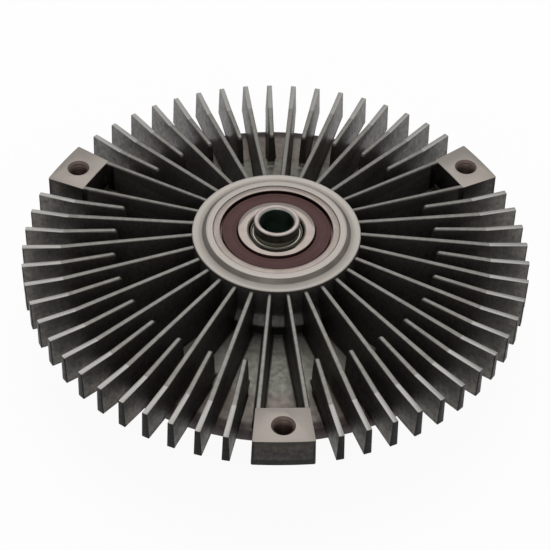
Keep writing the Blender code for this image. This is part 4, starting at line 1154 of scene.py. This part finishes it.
    def build(self) -> None:
        """Model the casting, set its fins and lugs round it and dress it."""
        parts = [Bench.turning("rear_housing_casting", self.outline(), self.steps)]
        fin_from = self.boss_r - 1.5
        long_fin = self.model_fin("long_fin", fin_from, self.tip_r)
        lug_fin = self.model_fin("lug_fin", fin_from, self.lug_inner_r + 0.6)
        short_fin = self.model_fin("short_fin", self.short_from, self.tip_r, self.nose)
        lug = self.model_lug("fan_lug")
        per_lug = self.fin_places // self.lug_count
        for place in range(self.fin_places):
            from_lug = place % per_lug
            if from_lug == 0:
                pattern = lug
            elif from_lug % 2 == 0:
                pattern = short_fin
            elif from_lug in (1, per_lug - 1):
                pattern = lug_fin
            else:
                pattern = long_fin
            angle = self.first_lug + place * math.tau / self.fin_places
            parts.append(turned_copy(pattern, f"{pattern.name}_{place}", angle))
        remove(long_fin, lug_fin, short_fin, lug)
        whole = joined("rear_housing_casting", parts)
        place_piece(whole, CASTING, "housing", "rear_housing")


@dataclass
class FrontCover:
    """The finned casting that carries the valve, with the fluid's reservoir inside."""

    wall_low: float = 11.0
    wall_top: float = 14.2
    wall_middle_r: float = 30.0
    plate_seat: float = 18.8
    plate_r: float = 61.2
    flange_r: float = 68.0
    flange_top: float = 22.9
    groove_r: float = 66.4
    groove_low: float = 20.4
    groove_top: float = 22.2
    flange_low: float = 19.7
    neck_r: float = 65.6
    guard_inner: float = 28.0
    guard_outer: float = 31.5
    guard_low: float = 0.5
    hub_r: float = 7.5
    hub_end_r: float = 7.0
    hub_low: float = 9.6
    hub_top: float = 17.7
    bore_r: float = 2.7
    fin_count: int = 24
    fin_half: float = 1.0
    fin_draft: float = 0.03
    fin_slab_half: float = 1.6
    fin_inner: float = 29.75
    fin_foot_r: float = 54.0
    fin_root: float = 12.5
    fin_end: float = 15.3
    post_at: float = 47.0
    post_r: float = 3.8
    post_count: int = 3
    screw_r: float = 1.7
    coil_post_at: tuple[float, float] = (0.0, 22.0)
    steps: int = 120

    def outline(self) -> list[Corner]:
        """Give the turned outline: reservoir, plate seat, flange with its groove, cone, guard, boss."""
        top, low, flange = self.wall_top, self.wall_low, self.flange_r
        start = (self.wall_middle_r, top)
        return profile(
            start, (54.5, top, 0.8), (56.0, self.plate_seat), (self.plate_r, self.plate_seat),
            (self.plate_r, 20.2), (63.0, self.flange_top, 0.2, 2), (flange, self.flange_top, 0.2, 2),
            (flange, self.groove_top), (self.groove_r, self.groove_top),
            (self.groove_r, self.groove_low), (flange, self.groove_low),
            (flange, self.flange_low), (self.neck_r, self.flange_low), (self.neck_r, 18.3, 0.3, 2),
            (62.0, 14.5, 0.9), (58.0, low, 1.2), (self.guard_outer, low, 0.8),
            (self.guard_outer, self.guard_low, 0.5), (self.guard_inner, self.guard_low, 0.5),
            (self.guard_inner, low, 0.8), (self.hub_r, low, 0.6), (self.hub_end_r, self.hub_low, 0.3),
            (self.bore_r, self.hub_low), (self.bore_r, self.hub_top),
            (self.hub_end_r, self.hub_top, 0.3), (self.hub_r, top, 0.6), start,
        )

    def model_fin(self) -> Piece:
        """Model one cover fin along +X: a slab from the guard out and up the cone, with round edges."""
        root, inner = self.fin_root, self.fin_inner
        start = (40.0, root)
        outline = profile(
            start, (inner, root), (inner, 0.0), (self.fin_foot_r, 0.0, 1.2, 4),
            (63.56, self.fin_end, 0.3, 2), (62.0, self.fin_end), (57.25, root), start,
            depth=-self.fin_slab_half,
        )
        bench = Bench.slab("cover_fin", outline, (0, 2 * self.fin_slab_half, 0))
        for sign in (1, -1):
            bench.plane_off((0, sign * self.fin_half, 0), (0, sign, -self.fin_draft))

        def is_open_edge(at: Vector, way: Vector) -> bool:
            """Say whether an edge lies free of the guard and the cone."""
            return abs(at.y) > 0.3 and abs(way.y) < 0.5 and at.x > 32 and at.z < root - 0.2

        bench.pick(Part.EDGES, is_open_edge)
        bench.bevel(0.3)
        return bench.finish()

    def _screw_post(self) -> Piece:
        """Model one screw post inside the cover, open at its top."""
        axis, top = self.post_at, self.plate_seat
        wall, bore = axis + self.post_r, axis + self.screw_r
        outline = profile(
            (axis, 13.8), (wall, 13.8), (wall, top, 0.3, 2), (bore, top), (bore, 14.0), (axis, 14.0)
        )
        return Bench.turning("screw_post", outline, 24, (axis, 0, 0))

    def _drill(
        self, name: str, at: tuple[float, float], radius: float, heights: tuple[float, float], steps: int
    ) -> Piece:
        """Model the cutter of a round hole.

        Args:
            name: The cutter's name.
            at: Where its axis stands in plan.
            radius: The hole's radius.
            heights: Where the cutter starts and ends.
            steps: How many flats stand for the round.

        Returns:
            The cutter.
        """
        x, y = at
        low, high = heights
        outline = profile((x, low), (x + radius, low), (x + radius, high), (x, high), depth=y)
        return Bench.turning(name, outline, steps, (x, y, 0))

    def build(self) -> None:
        """Model the cover, its fins and its screw posts, and dress it."""
        cover = Bench.turning("front_cover_casting", self.outline(), self.steps)
        cut_with(cover, self._drill("post_seat", self.coil_post_at, 2.0, (10.4, 13.2), 32))
        drill = self._drill("screw_drill", (self.post_at, 0.0), self.screw_r, (13.4, 15.0), 24)
        post = self._screw_post()
        fin = self.model_fin()
        parts = [cover]
        for i in range(self.post_count):
            angle = math.pi / 2 + i * math.tau / self.post_count
            cut_with(cover, turned_copy(drill, f"screw_drill_{i}", angle))
            parts.append(turned_copy(post, f"screw_post_{i}", angle))
        for i in range(self.fin_count):
            parts.append(turned_copy(fin, f"cover_fin_{i}", i * math.tau / self.fin_count))
        remove(drill, post, fin)
        whole = joined("front_cover_casting", parts)
        place_piece(whole, CASTING, "housing", "front_cover")


@dataclass
class Bearing:
    """The sealed ball bearing: its two rings and the seal that shows at its rear face."""

    bore_r: float = 10.2
    outer_r: float = 23.66
    inner_land: float = 14.41
    outer_land: float = 19.09
    recess_r: float = 21.1
    top: float = 54.7
    low: float = 40.3
    recess: float = 2.3
    pitch_r: float = 16.75
    middle: float = 47.3
    groove_r: float = 4.27
    groove_steps: int = 8
    seal_top: float = 53.9
    seal_low: float = 52.6
    steps: int = 112

    def raceway(self, land: float, side: int) -> list[tuple[float, float]]:
        """Give the points of a ball groove, run upwards.

        Args:
            land: The radius at which the groove opens.
            side: 1 for the outer ring and -1 for the inner one.

        Returns:
            Radius and height of each point, from the groove's lower edge to its upper one.
        """
        widest = math.acos(abs(self.pitch_r - land) / self.groove_r)
        turns = [widest * (-1 + 2 * i / self.groove_steps) for i in range(self.groove_steps + 1)]
        reach = side * self.groove_r
        return [
            (self.pitch_r + reach * math.cos(t), self.middle + self.groove_r * math.sin(t)) for t in turns
        ]

    def outer_ring(self) -> list[Corner]:
        """Give the outer ring's outline, with its ball groove and its seals' recesses."""
        start = (22.0, self.top)
        shelf, roof = self.low + self.recess, self.top - self.recess
        return profile(
            start, (self.outer_r, self.top, 0.3), (self.outer_r, self.low, 0.6),
            (self.recess_r, self.low, 0.2, 2), (self.recess_r, shelf), (self.outer_land, shelf),
            *self.raceway(self.outer_land, 1), (self.outer_land, roof), (self.recess_r, roof),
            (self.recess_r, self.top, 0.2, 2), start,
        )

    def inner_ring(self) -> list[Corner]:
        """Give the inner ring's outline, with its ball groove."""
        start = (12.5, self.top)
        return profile(
            start, (self.inner_land, self.top, 0.25, 2), *reversed(self.raceway(self.inner_land, -1)),
            (self.inner_land, self.low, 0.25, 2), (self.bore_r, self.low, 0.6),
            (self.bore_r, self.top, 1.1, 4), start,
        )

    def rear_seal(self) -> list[Corner]:
        """Give the rear seal's outline: a rubber ring with a rim bead, a shallow dish and a lip."""
        top, low = self.seal_top, self.seal_low
        dish, lip = top - 0.28, top - 0.1
        start = (17.5, dish)
        return profile(
            start, (19.0, dish, 0.15, 2), (19.3, top, 0.15, 2), (20.3, top, 0.3), (20.4, low),
            (14.61, low), (14.72, top - 0.35, 0.15, 2), (15.2, lip, 0.15, 2), (15.9, lip, 0.15, 2),
            (16.2, dish, 0.15, 2), start,
        )

    def build(self) -> None:
        """Model the three pieces and dress them."""
        outer = Bench.turning("bearing_outer_ring_ground", self.outer_ring(), self.steps)
        place_piece(outer, OUTER_RING_STEEL, "housing", "bearing_outer_ring")
        inner = Bench.turning("bearing_inner_ring_ground", self.inner_ring(), self.steps)
        place_piece(inner, INNER_RING_STEEL, "shaft", "bearing_inner_ring")
        seal = Bench.turning("bearing_rear_seal", self.rear_seal(), self.steps)
        place_piece(seal, SEAL_RUBBER, "housing", "bearing_seal_rear")


@dataclass
class DriveShaft:
    """The hollow shaft with its locating spigot, bearing journal and rotor seat."""

    top: float = 59.3
    bore_r: float = 6.25
    bore_low: float = 29.3
    spigot_r: float = 8.5
    spigot_low: float = 53.0
    ridge_top: float = 53.75
    journal_r: float = 10.0
    shoulder_r: float = 12.5
    shoulder_low: float = 33.1
    shoulder_top: float = 40.1
    seat_r: float = 9.0
    groove_r: float = 8.2
    groove_low: float = 24.1
    groove_top: float = 25.2
    low: float = 23.6

    def outline(self) -> list[Corner]:
        """Give the turned outline from the bore's floor up over the spigot and down to the foot."""
        return profile(
            (0.0, self.bore_low), (self.bore_r, self.bore_low, 0.5), (self.bore_r, 58.5, 0.1, 2),
            (self.bore_r + 0.75, self.top, 0.25), (self.spigot_r, self.top, 0.6, 6),
            (self.spigot_r, self.spigot_low, 0.25, 2), (9.15, self.spigot_low, 0.1, 2),
            (9.35, self.ridge_top, 0.1, 2), (9.7, self.ridge_top, 0.12, 2),
            (self.journal_r, 53.1, 0.15, 2), (self.journal_r, self.shoulder_top),
            (self.shoulder_r, self.shoulder_top, 0.3, 2), (self.shoulder_r, self.shoulder_low, 0.3, 2),
            (self.seat_r, self.shoulder_low), (self.seat_r, self.groove_top),
            (self.groove_r, self.groove_top), (self.groove_r, self.groove_low),
            (self.seat_r, self.groove_low), (self.seat_r, self.low, 0.25, 2), (0.0, self.low),
        )

    def build(self) -> None:
        """Model the shaft and dress it."""
        shaft = Bench.turning("hollow_drive_shaft", self.outline())
        place_piece(shaft, SHAFT_STEEL, "shaft", "drive_shaft")


@dataclass
class Thermostat:
    """The bimetal coil on the cover, its post, and the valve's spindle with its clip."""

    coil_low: float = 1.5
    coil_width: float = 6.6
    coil_inner: float = 7.0
    coil_outer: float = 22.0
    coil_turns: float = 4.25
    coil_thickness: float = 0.9
    corner_r: float = 1.5
    tab_start: float = -2.0
    hook_end: float = 5.0
    points_per_turn: int = 48
    spindle_r: float = 2.5
    spindle_low: float = 1.2
    spindle_top: float = 17.9
    neck_r: float = 1.5
    ring_groove: tuple[float, float] = (13.05, 14.45)
    clip_groove: tuple[float, float] = (8.6, 9.4)
    clip_inner: float = 1.7
    clip_outer: float = 4.6
    clip_low: float = 8.7
    clip_top: float = 9.3
    clip_gap_half: float = 1.3
    post_r: float = 2.8
    post_pin_r: float = 1.8
    post_shoulder: float = 10.8
    post_top: float = 13.0
    slot_width: float = 1.3
    slot_top: float = 8.3
    steps: int = 48

    def spiral(self, angle: float) -> tuple[float, float]:
        """Give the strip's place in plan at an angle along its spiral."""
        growth = (self.coil_outer - self.coil_inner) / (math.tau * self.coil_turns)
        radius = self.coil_inner + growth * angle
        return radius * math.cos(angle), radius * math.sin(angle)

    def strip(self, name: str, path: Sequence[tuple[float, float]]) -> Piece:
        """Model a length of strip on edge: a drawn line, extruded up and thickened.

        Args:
            name: The piece's name.
            path: The strip's middle line in plan.

        Returns:
            The strip.
        """
        bench = Bench.line(name, [Corner(metres(x, y, self.coil_low)) for x, y in path])
        bench.extrude((0, 0, self.coil_width))
        bpy.ops.object.mode_set(mode="OBJECT")
        piece = bench.piece
        make_active(piece)
        wall = piece.modifiers.new("wall", "SOLIDIFY")
        wall.thickness = self.coil_thickness * MM
        wall.offset = 0
        wall.use_even_offset = True
        bpy.ops.object.modifier_apply(modifier=wall.name)
        edges = piece.modifiers.new("edges", "BEVEL")
        edges.width = 0.12 * MM
        edges.segments = 2
        edges.limit_method = "ANGLE"
        edges.angle_limit = math.radians(50)
        bpy.ops.object.modifier_apply(modifier=edges.name)
        smooth_round_faces(piece)
        return piece

    def build_coil(self) -> None:
        """Model the coil as its hook, which turns with the spindle, its inner turn and the rest."""
        corner, inner = self.corner_r, self.coil_inner
        turns = [math.radians(15 * i) for i in range(6)]
        bend = [(inner - corner + corner * math.sin(t), corner - corner * math.cos(t)) for t in turns]
        first = math.asin(corner / inner)
        half = [self.spiral(first + (math.pi - first) * i / 24) for i in range(25)]
        span = math.tau * self.coil_turns - math.pi
        count = round(span / (math.tau / self.points_per_turn))
        rest = [self.spiral(math.pi + span * i / count) for i in range(count + 1)]
        hook = self.strip("coil_hook", [(self.tab_start, 0.0), (self.hook_end, 0.0)])
        turn = self.strip("coil_inner_turn", [(self.hook_end, 0.0), *bend, *half])
        coil = self.strip("coil_outer_turns", rest)
        place_piece(coil, COIL_METAL, "housing", "bimetal_coil")
        place_piece(hook, COIL_METAL, "valve", "bimetal_coil")
        dress(turn, COIL_METAL)
        x_low = self.spiral(math.pi)[0] * MM
        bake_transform(turn)
        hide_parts("bimetal_coil")
        LOG.info("%s: %d faces, bends between housing and valve", turn.name, len(turn.data.polygons))

    def _slot_cutter(self, centre: tuple[float, float], angle: float, reach: float) -> Piece:
        """Model the cutter of a slot for the strip.

        Args:
            centre: The slot's middle in plan.
            angle: The way the slot runs, in radians.
            reach: Half its length.

        Returns:
            The cutter.
        """
        half = self.slot_width / 2
        low = (-reach, -half, self.coil_low - 1.5)
        cutter = Bench.block("slot", low, (reach, half, self.slot_top)).finish()
        turn = Matrix.Rotation(angle, 4, "Z")
        cutter.data.transform(Matrix.Translation(metres(*centre, 0)) @ turn)
        return cutter

    def build_spindle(self) -> None:
        """Model the valve's spindle, slotted at its foot and grooved for its clip and sealing ring."""
        wall, neck = self.spindle_r, self.neck_r
        rows = [(0.0, self.spindle_top), (wall, self.spindle_top, 0.25, 2)]
        for low, high in (self.ring_groove, self.clip_groove):
            rows += [(wall, high), (neck, high), (neck, low), (wall, low)]
        rows += [(wall, self.spindle_low, 0.4), (0.0, self.spindle_low)]
        spindle = Bench.turning("valve_spindle", profile(*rows), self.steps)
        cut_with(spindle, self._slot_cutter((0, 0), 0.0, 5.0))
        place_piece(spindle, ZINC_PLATE, "valve", "valve_shaft")

    def build_clip(self) -> None:
        """Model the spindle's clip, a ring that is open at one side."""
        low, top = self.clip_low, self.clip_top
        start = (3.0, top)
        ring = profile(
            start, (self.clip_outer, top, 0.15, 2), (self.clip_outer, low, 0.15, 2),
            (self.clip_inner, low), (self.clip_inner, top), start,
        )
        clip = Bench.turning("valve_spindle_clip", ring, self.steps)
        half = self.clip_gap_half
        cut_with(clip, Bench.block("gap", (0.5, -half, 8.0), (6.0, half, 10.0)).finish())
        place_piece(clip, ZINC_PLATE, "valve", "valve_clip")

    def build_post(self) -> None:
        """Model the slotted post that holds the coil's outer end."""
        end = math.tau * self.coil_turns
        x, y = self.spiral(end)
        before = self.spiral(end - math.tau / self.points_per_turn)
        angle = math.atan2(y - before[1], x - before[0])
        pin, wall = x + self.post_pin_r, x + self.post_r
        outline = profile(
            (x, self.post_top), (pin, self.post_top, 0.3, 2), (pin, self.post_shoulder),
            (wall, self.post_shoulder), (wall, self.coil_low, 0.4, 2), (x, self.coil_low), depth=y,
        )
        post = Bench.turning("coil_anchor_post", outline, 40, (x, y, 0))
        cut_with(post, self._slot_cutter((x, y), angle, 6.0))
        place_piece(post, ZINC_PLATE, "housing", "coil_post")

    def build(self) -> None:
        """Model the coil, the spindle with its clip, and the post."""
        self.build_coil()
        self.build_spindle()
        self.build_clip()
        self.build_post()


@dataclass
class InnerPieces:
    """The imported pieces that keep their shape, most of them sealed inside, with their finishes."""

    finishes: dict[str, Finish] = field(
        default_factory=lambda: {
            "cover_seal_ring": BLACK_RUBBER,
            "valve_seal_ring": BLACK_RUBBER,
            "separator_plate": PLATE_STEEL,
            "valve_arm": PLATE_STEEL,
            "plate_screw": ZINC_PLATE,
            "rotor_circlip": ZINC_PLATE,
            "bearing_seal_front": SEAL_RUBBER,
            "ball_cage": CAGE_NYLON,
            "bearing_ball": BALL_STEEL,
            "rotor_disc": ROTOR_METAL,
        }
    )

    def build(self) -> None:
        """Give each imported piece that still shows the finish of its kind."""
        for name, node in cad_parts.items():
            kind = next((k for k in self.finishes if name.startswith(k)), None)
            if kind is None:
                continue
            for slot in node.material_slots:
                slot.material = self.finishes[kind].material()
            LOG.info("%s: keeps its packed shape", name)


@dataclass
class Studio:
    """The pale floor, the soft lamps and the camera at the photograph's viewing angle."""

    azimuth: float = math.radians(-2.83)
    elevation: float = math.radians(45.15)
    roll: float = math.radians(-1.71)
    aim_height: float = 46.0
    distance: float = 664.8
    offset_right: float = -0.06
    offset_up: float = -11.1
    focal_pixels: float = 1769.15
    ambient: float = 0.72
    floor_size: float = 6000.0
    floor_paint: Colour = (0.9, 0.9, 0.9, 1.0)
    own_light: float = 0.93
    lamp_aim: float = 40.0

    def _seen(self, shading: Shading) -> Value:
        """Give 1 for rays from the camera, from glossy metal and through glass."""
        kinds = ("Is Camera Ray", "Is Glossy Ray", "Is Transmission Ray")
        camera, glossy, through = [shading.node("ShaderNodeLightPath", {}, {}, kind) for kind in kinds]
        return camera.higher_of(glossy).higher_of(through)

    def build_world(self) -> None:
        """Light the object from all round, and show plain white behind it."""
        world = bpy.data.worlds.new("studio")
        world.use_nodes = True
        bpy.context.scene.world = world
        shading = Shading(world.node_tree)
        dim = shading.node("ShaderNodeBackground", {}, {"Color": WHITE, "Strength": self.ambient})
        bright = shading.node("ShaderNodeBackground", {}, {"Color": WHITE, "Strength": 1.0})
        both = shading.node("ShaderNodeMixShader", {}, {0: self._seen(shading), 1: dim, 2: bright})
        shading.feed(world.node_tree.nodes["World Output"].inputs["Surface"], both)

    def build_floor(self) -> None:
        """Lay a white floor that keeps a soft shadow and is clear from below."""
        clear_selection()
        bpy.ops.mesh.primitive_plane_add(size=self.floor_size * MM)
        floor = bpy.context.object
        floor.name = "studio_floor"
        material = bpy.data.materials.new("studio_white")
        material.use_nodes = True
        shading = Shading(material.node_tree)
        paint = shading.node("ShaderNodeBsdfDiffuse", {}, {"Color": self.floor_paint})
        glow = shading.node("ShaderNodeEmission", {}, {"Color": WHITE, "Strength": 1.0})
        share = self._seen(shading) * self.own_light
        top = shading.node("ShaderNodeMixShader", {}, {0: share, 1: paint, 2: glow})
        below = shading.node("ShaderNodeNewGeometry", {}, {}, "Backfacing")
        clear = shading.node("ShaderNodeBsdfTransparent", {}, {})
        both = shading.node("ShaderNodeMixShader", {}, {0: below, 1: top, 2: clear})
        shading.feed(material.node_tree.nodes["Material Output"].inputs["Surface"], both)
        floor.data.materials.append(material)
        floor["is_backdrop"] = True

    def add_lamp(self, name: str, place: Place, size: float, power: float) -> None:
        """Hang one square soft lamp that faces the object.

        Args:
            name: The lamp's name.
            place: Where it hangs.
            size: Its side.
            power: Its power in watts.
        """
        data = bpy.data.lights.new(name, "AREA")
        data.size = size * MM
        data.energy = power
        lamp = bpy.data.objects.new(name, data)
        lamp.location = metres(*place)
        lamp.rotation_mode = "QUATERNION"
        lamp.rotation_quaternion = (metres(0, 0, self.lamp_aim) - lamp.location).to_track_quat("-Z", "Y")
        bpy.context.scene.collection.objects.link(lamp)

    def build_camera(self) -> None:
        """Set the camera where the photograph was taken from."""
        az, el = self.azimuth, self.elevation
        back = Vector((math.sin(az) * math.cos(el), -math.cos(az) * math.cos(el), math.sin(el)))
        right = Vector((math.cos(az), math.sin(az), 0.0))
        up = back.cross(right)
        turned_right = math.cos(self.roll) * right - math.sin(self.roll) * up
        turned_up = math.sin(self.roll) * right + math.cos(self.roll) * up
        data = bpy.data.cameras.new("camera")
        data.sensor_width = SENSOR_WIDTH
        data.lens = self.focal_pixels / FRAME_PIXELS * SENSOR_WIDTH
        data.clip_start = 0.01
        camera = bpy.data.objects.new("camera", data)
        place = metres(0, 0, self.aim_height) + back * (self.distance * MM)
        place += right * (self.offset_right * MM) + up * (self.offset_up * MM)
        turn = Matrix((turned_right, turned_up, back)).transposed().to_4x4()
        camera.matrix_world = Matrix.Translation(place) @ turn
        bpy.context.scene.collection.objects.link(camera)
        bpy.context.scene.camera = camera

    def build(self) -> None:
        """Set up the whole studio."""
        self.build_world()
        self.build_floor()
        self.add_lamp("lamp_behind", (0, 550, 1060), 900, 3.4)
        self.add_lamp("lamp_front", (-200, -1100, 900), 600, 1.0)
        self.build_camera()
        bpy.context.scene.view_settings.view_transform = "Standard"


def write_sizes() -> None:
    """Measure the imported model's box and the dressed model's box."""
    boxes = {"cad": CAD_BOUNDS, "visual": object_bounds()}
    plain = {name: [list(low), list(high)] for name, (low, high) in boxes.items()}


def main() -> None:
    """Build the fan clutch from the outside in, then its studio."""
    logging.basicConfig(level=logging.INFO, format="%(message)s")
    for assembly in (RearHousing(), FrontCover(), Bearing(), DriveShaft(), Thermostat(), InnerPieces()):
        LOG.info("building %s", type(assembly).__name__)
        assembly.build()
    Studio().build()
    write_sizes()


if __name__ == "__main__":
    main()
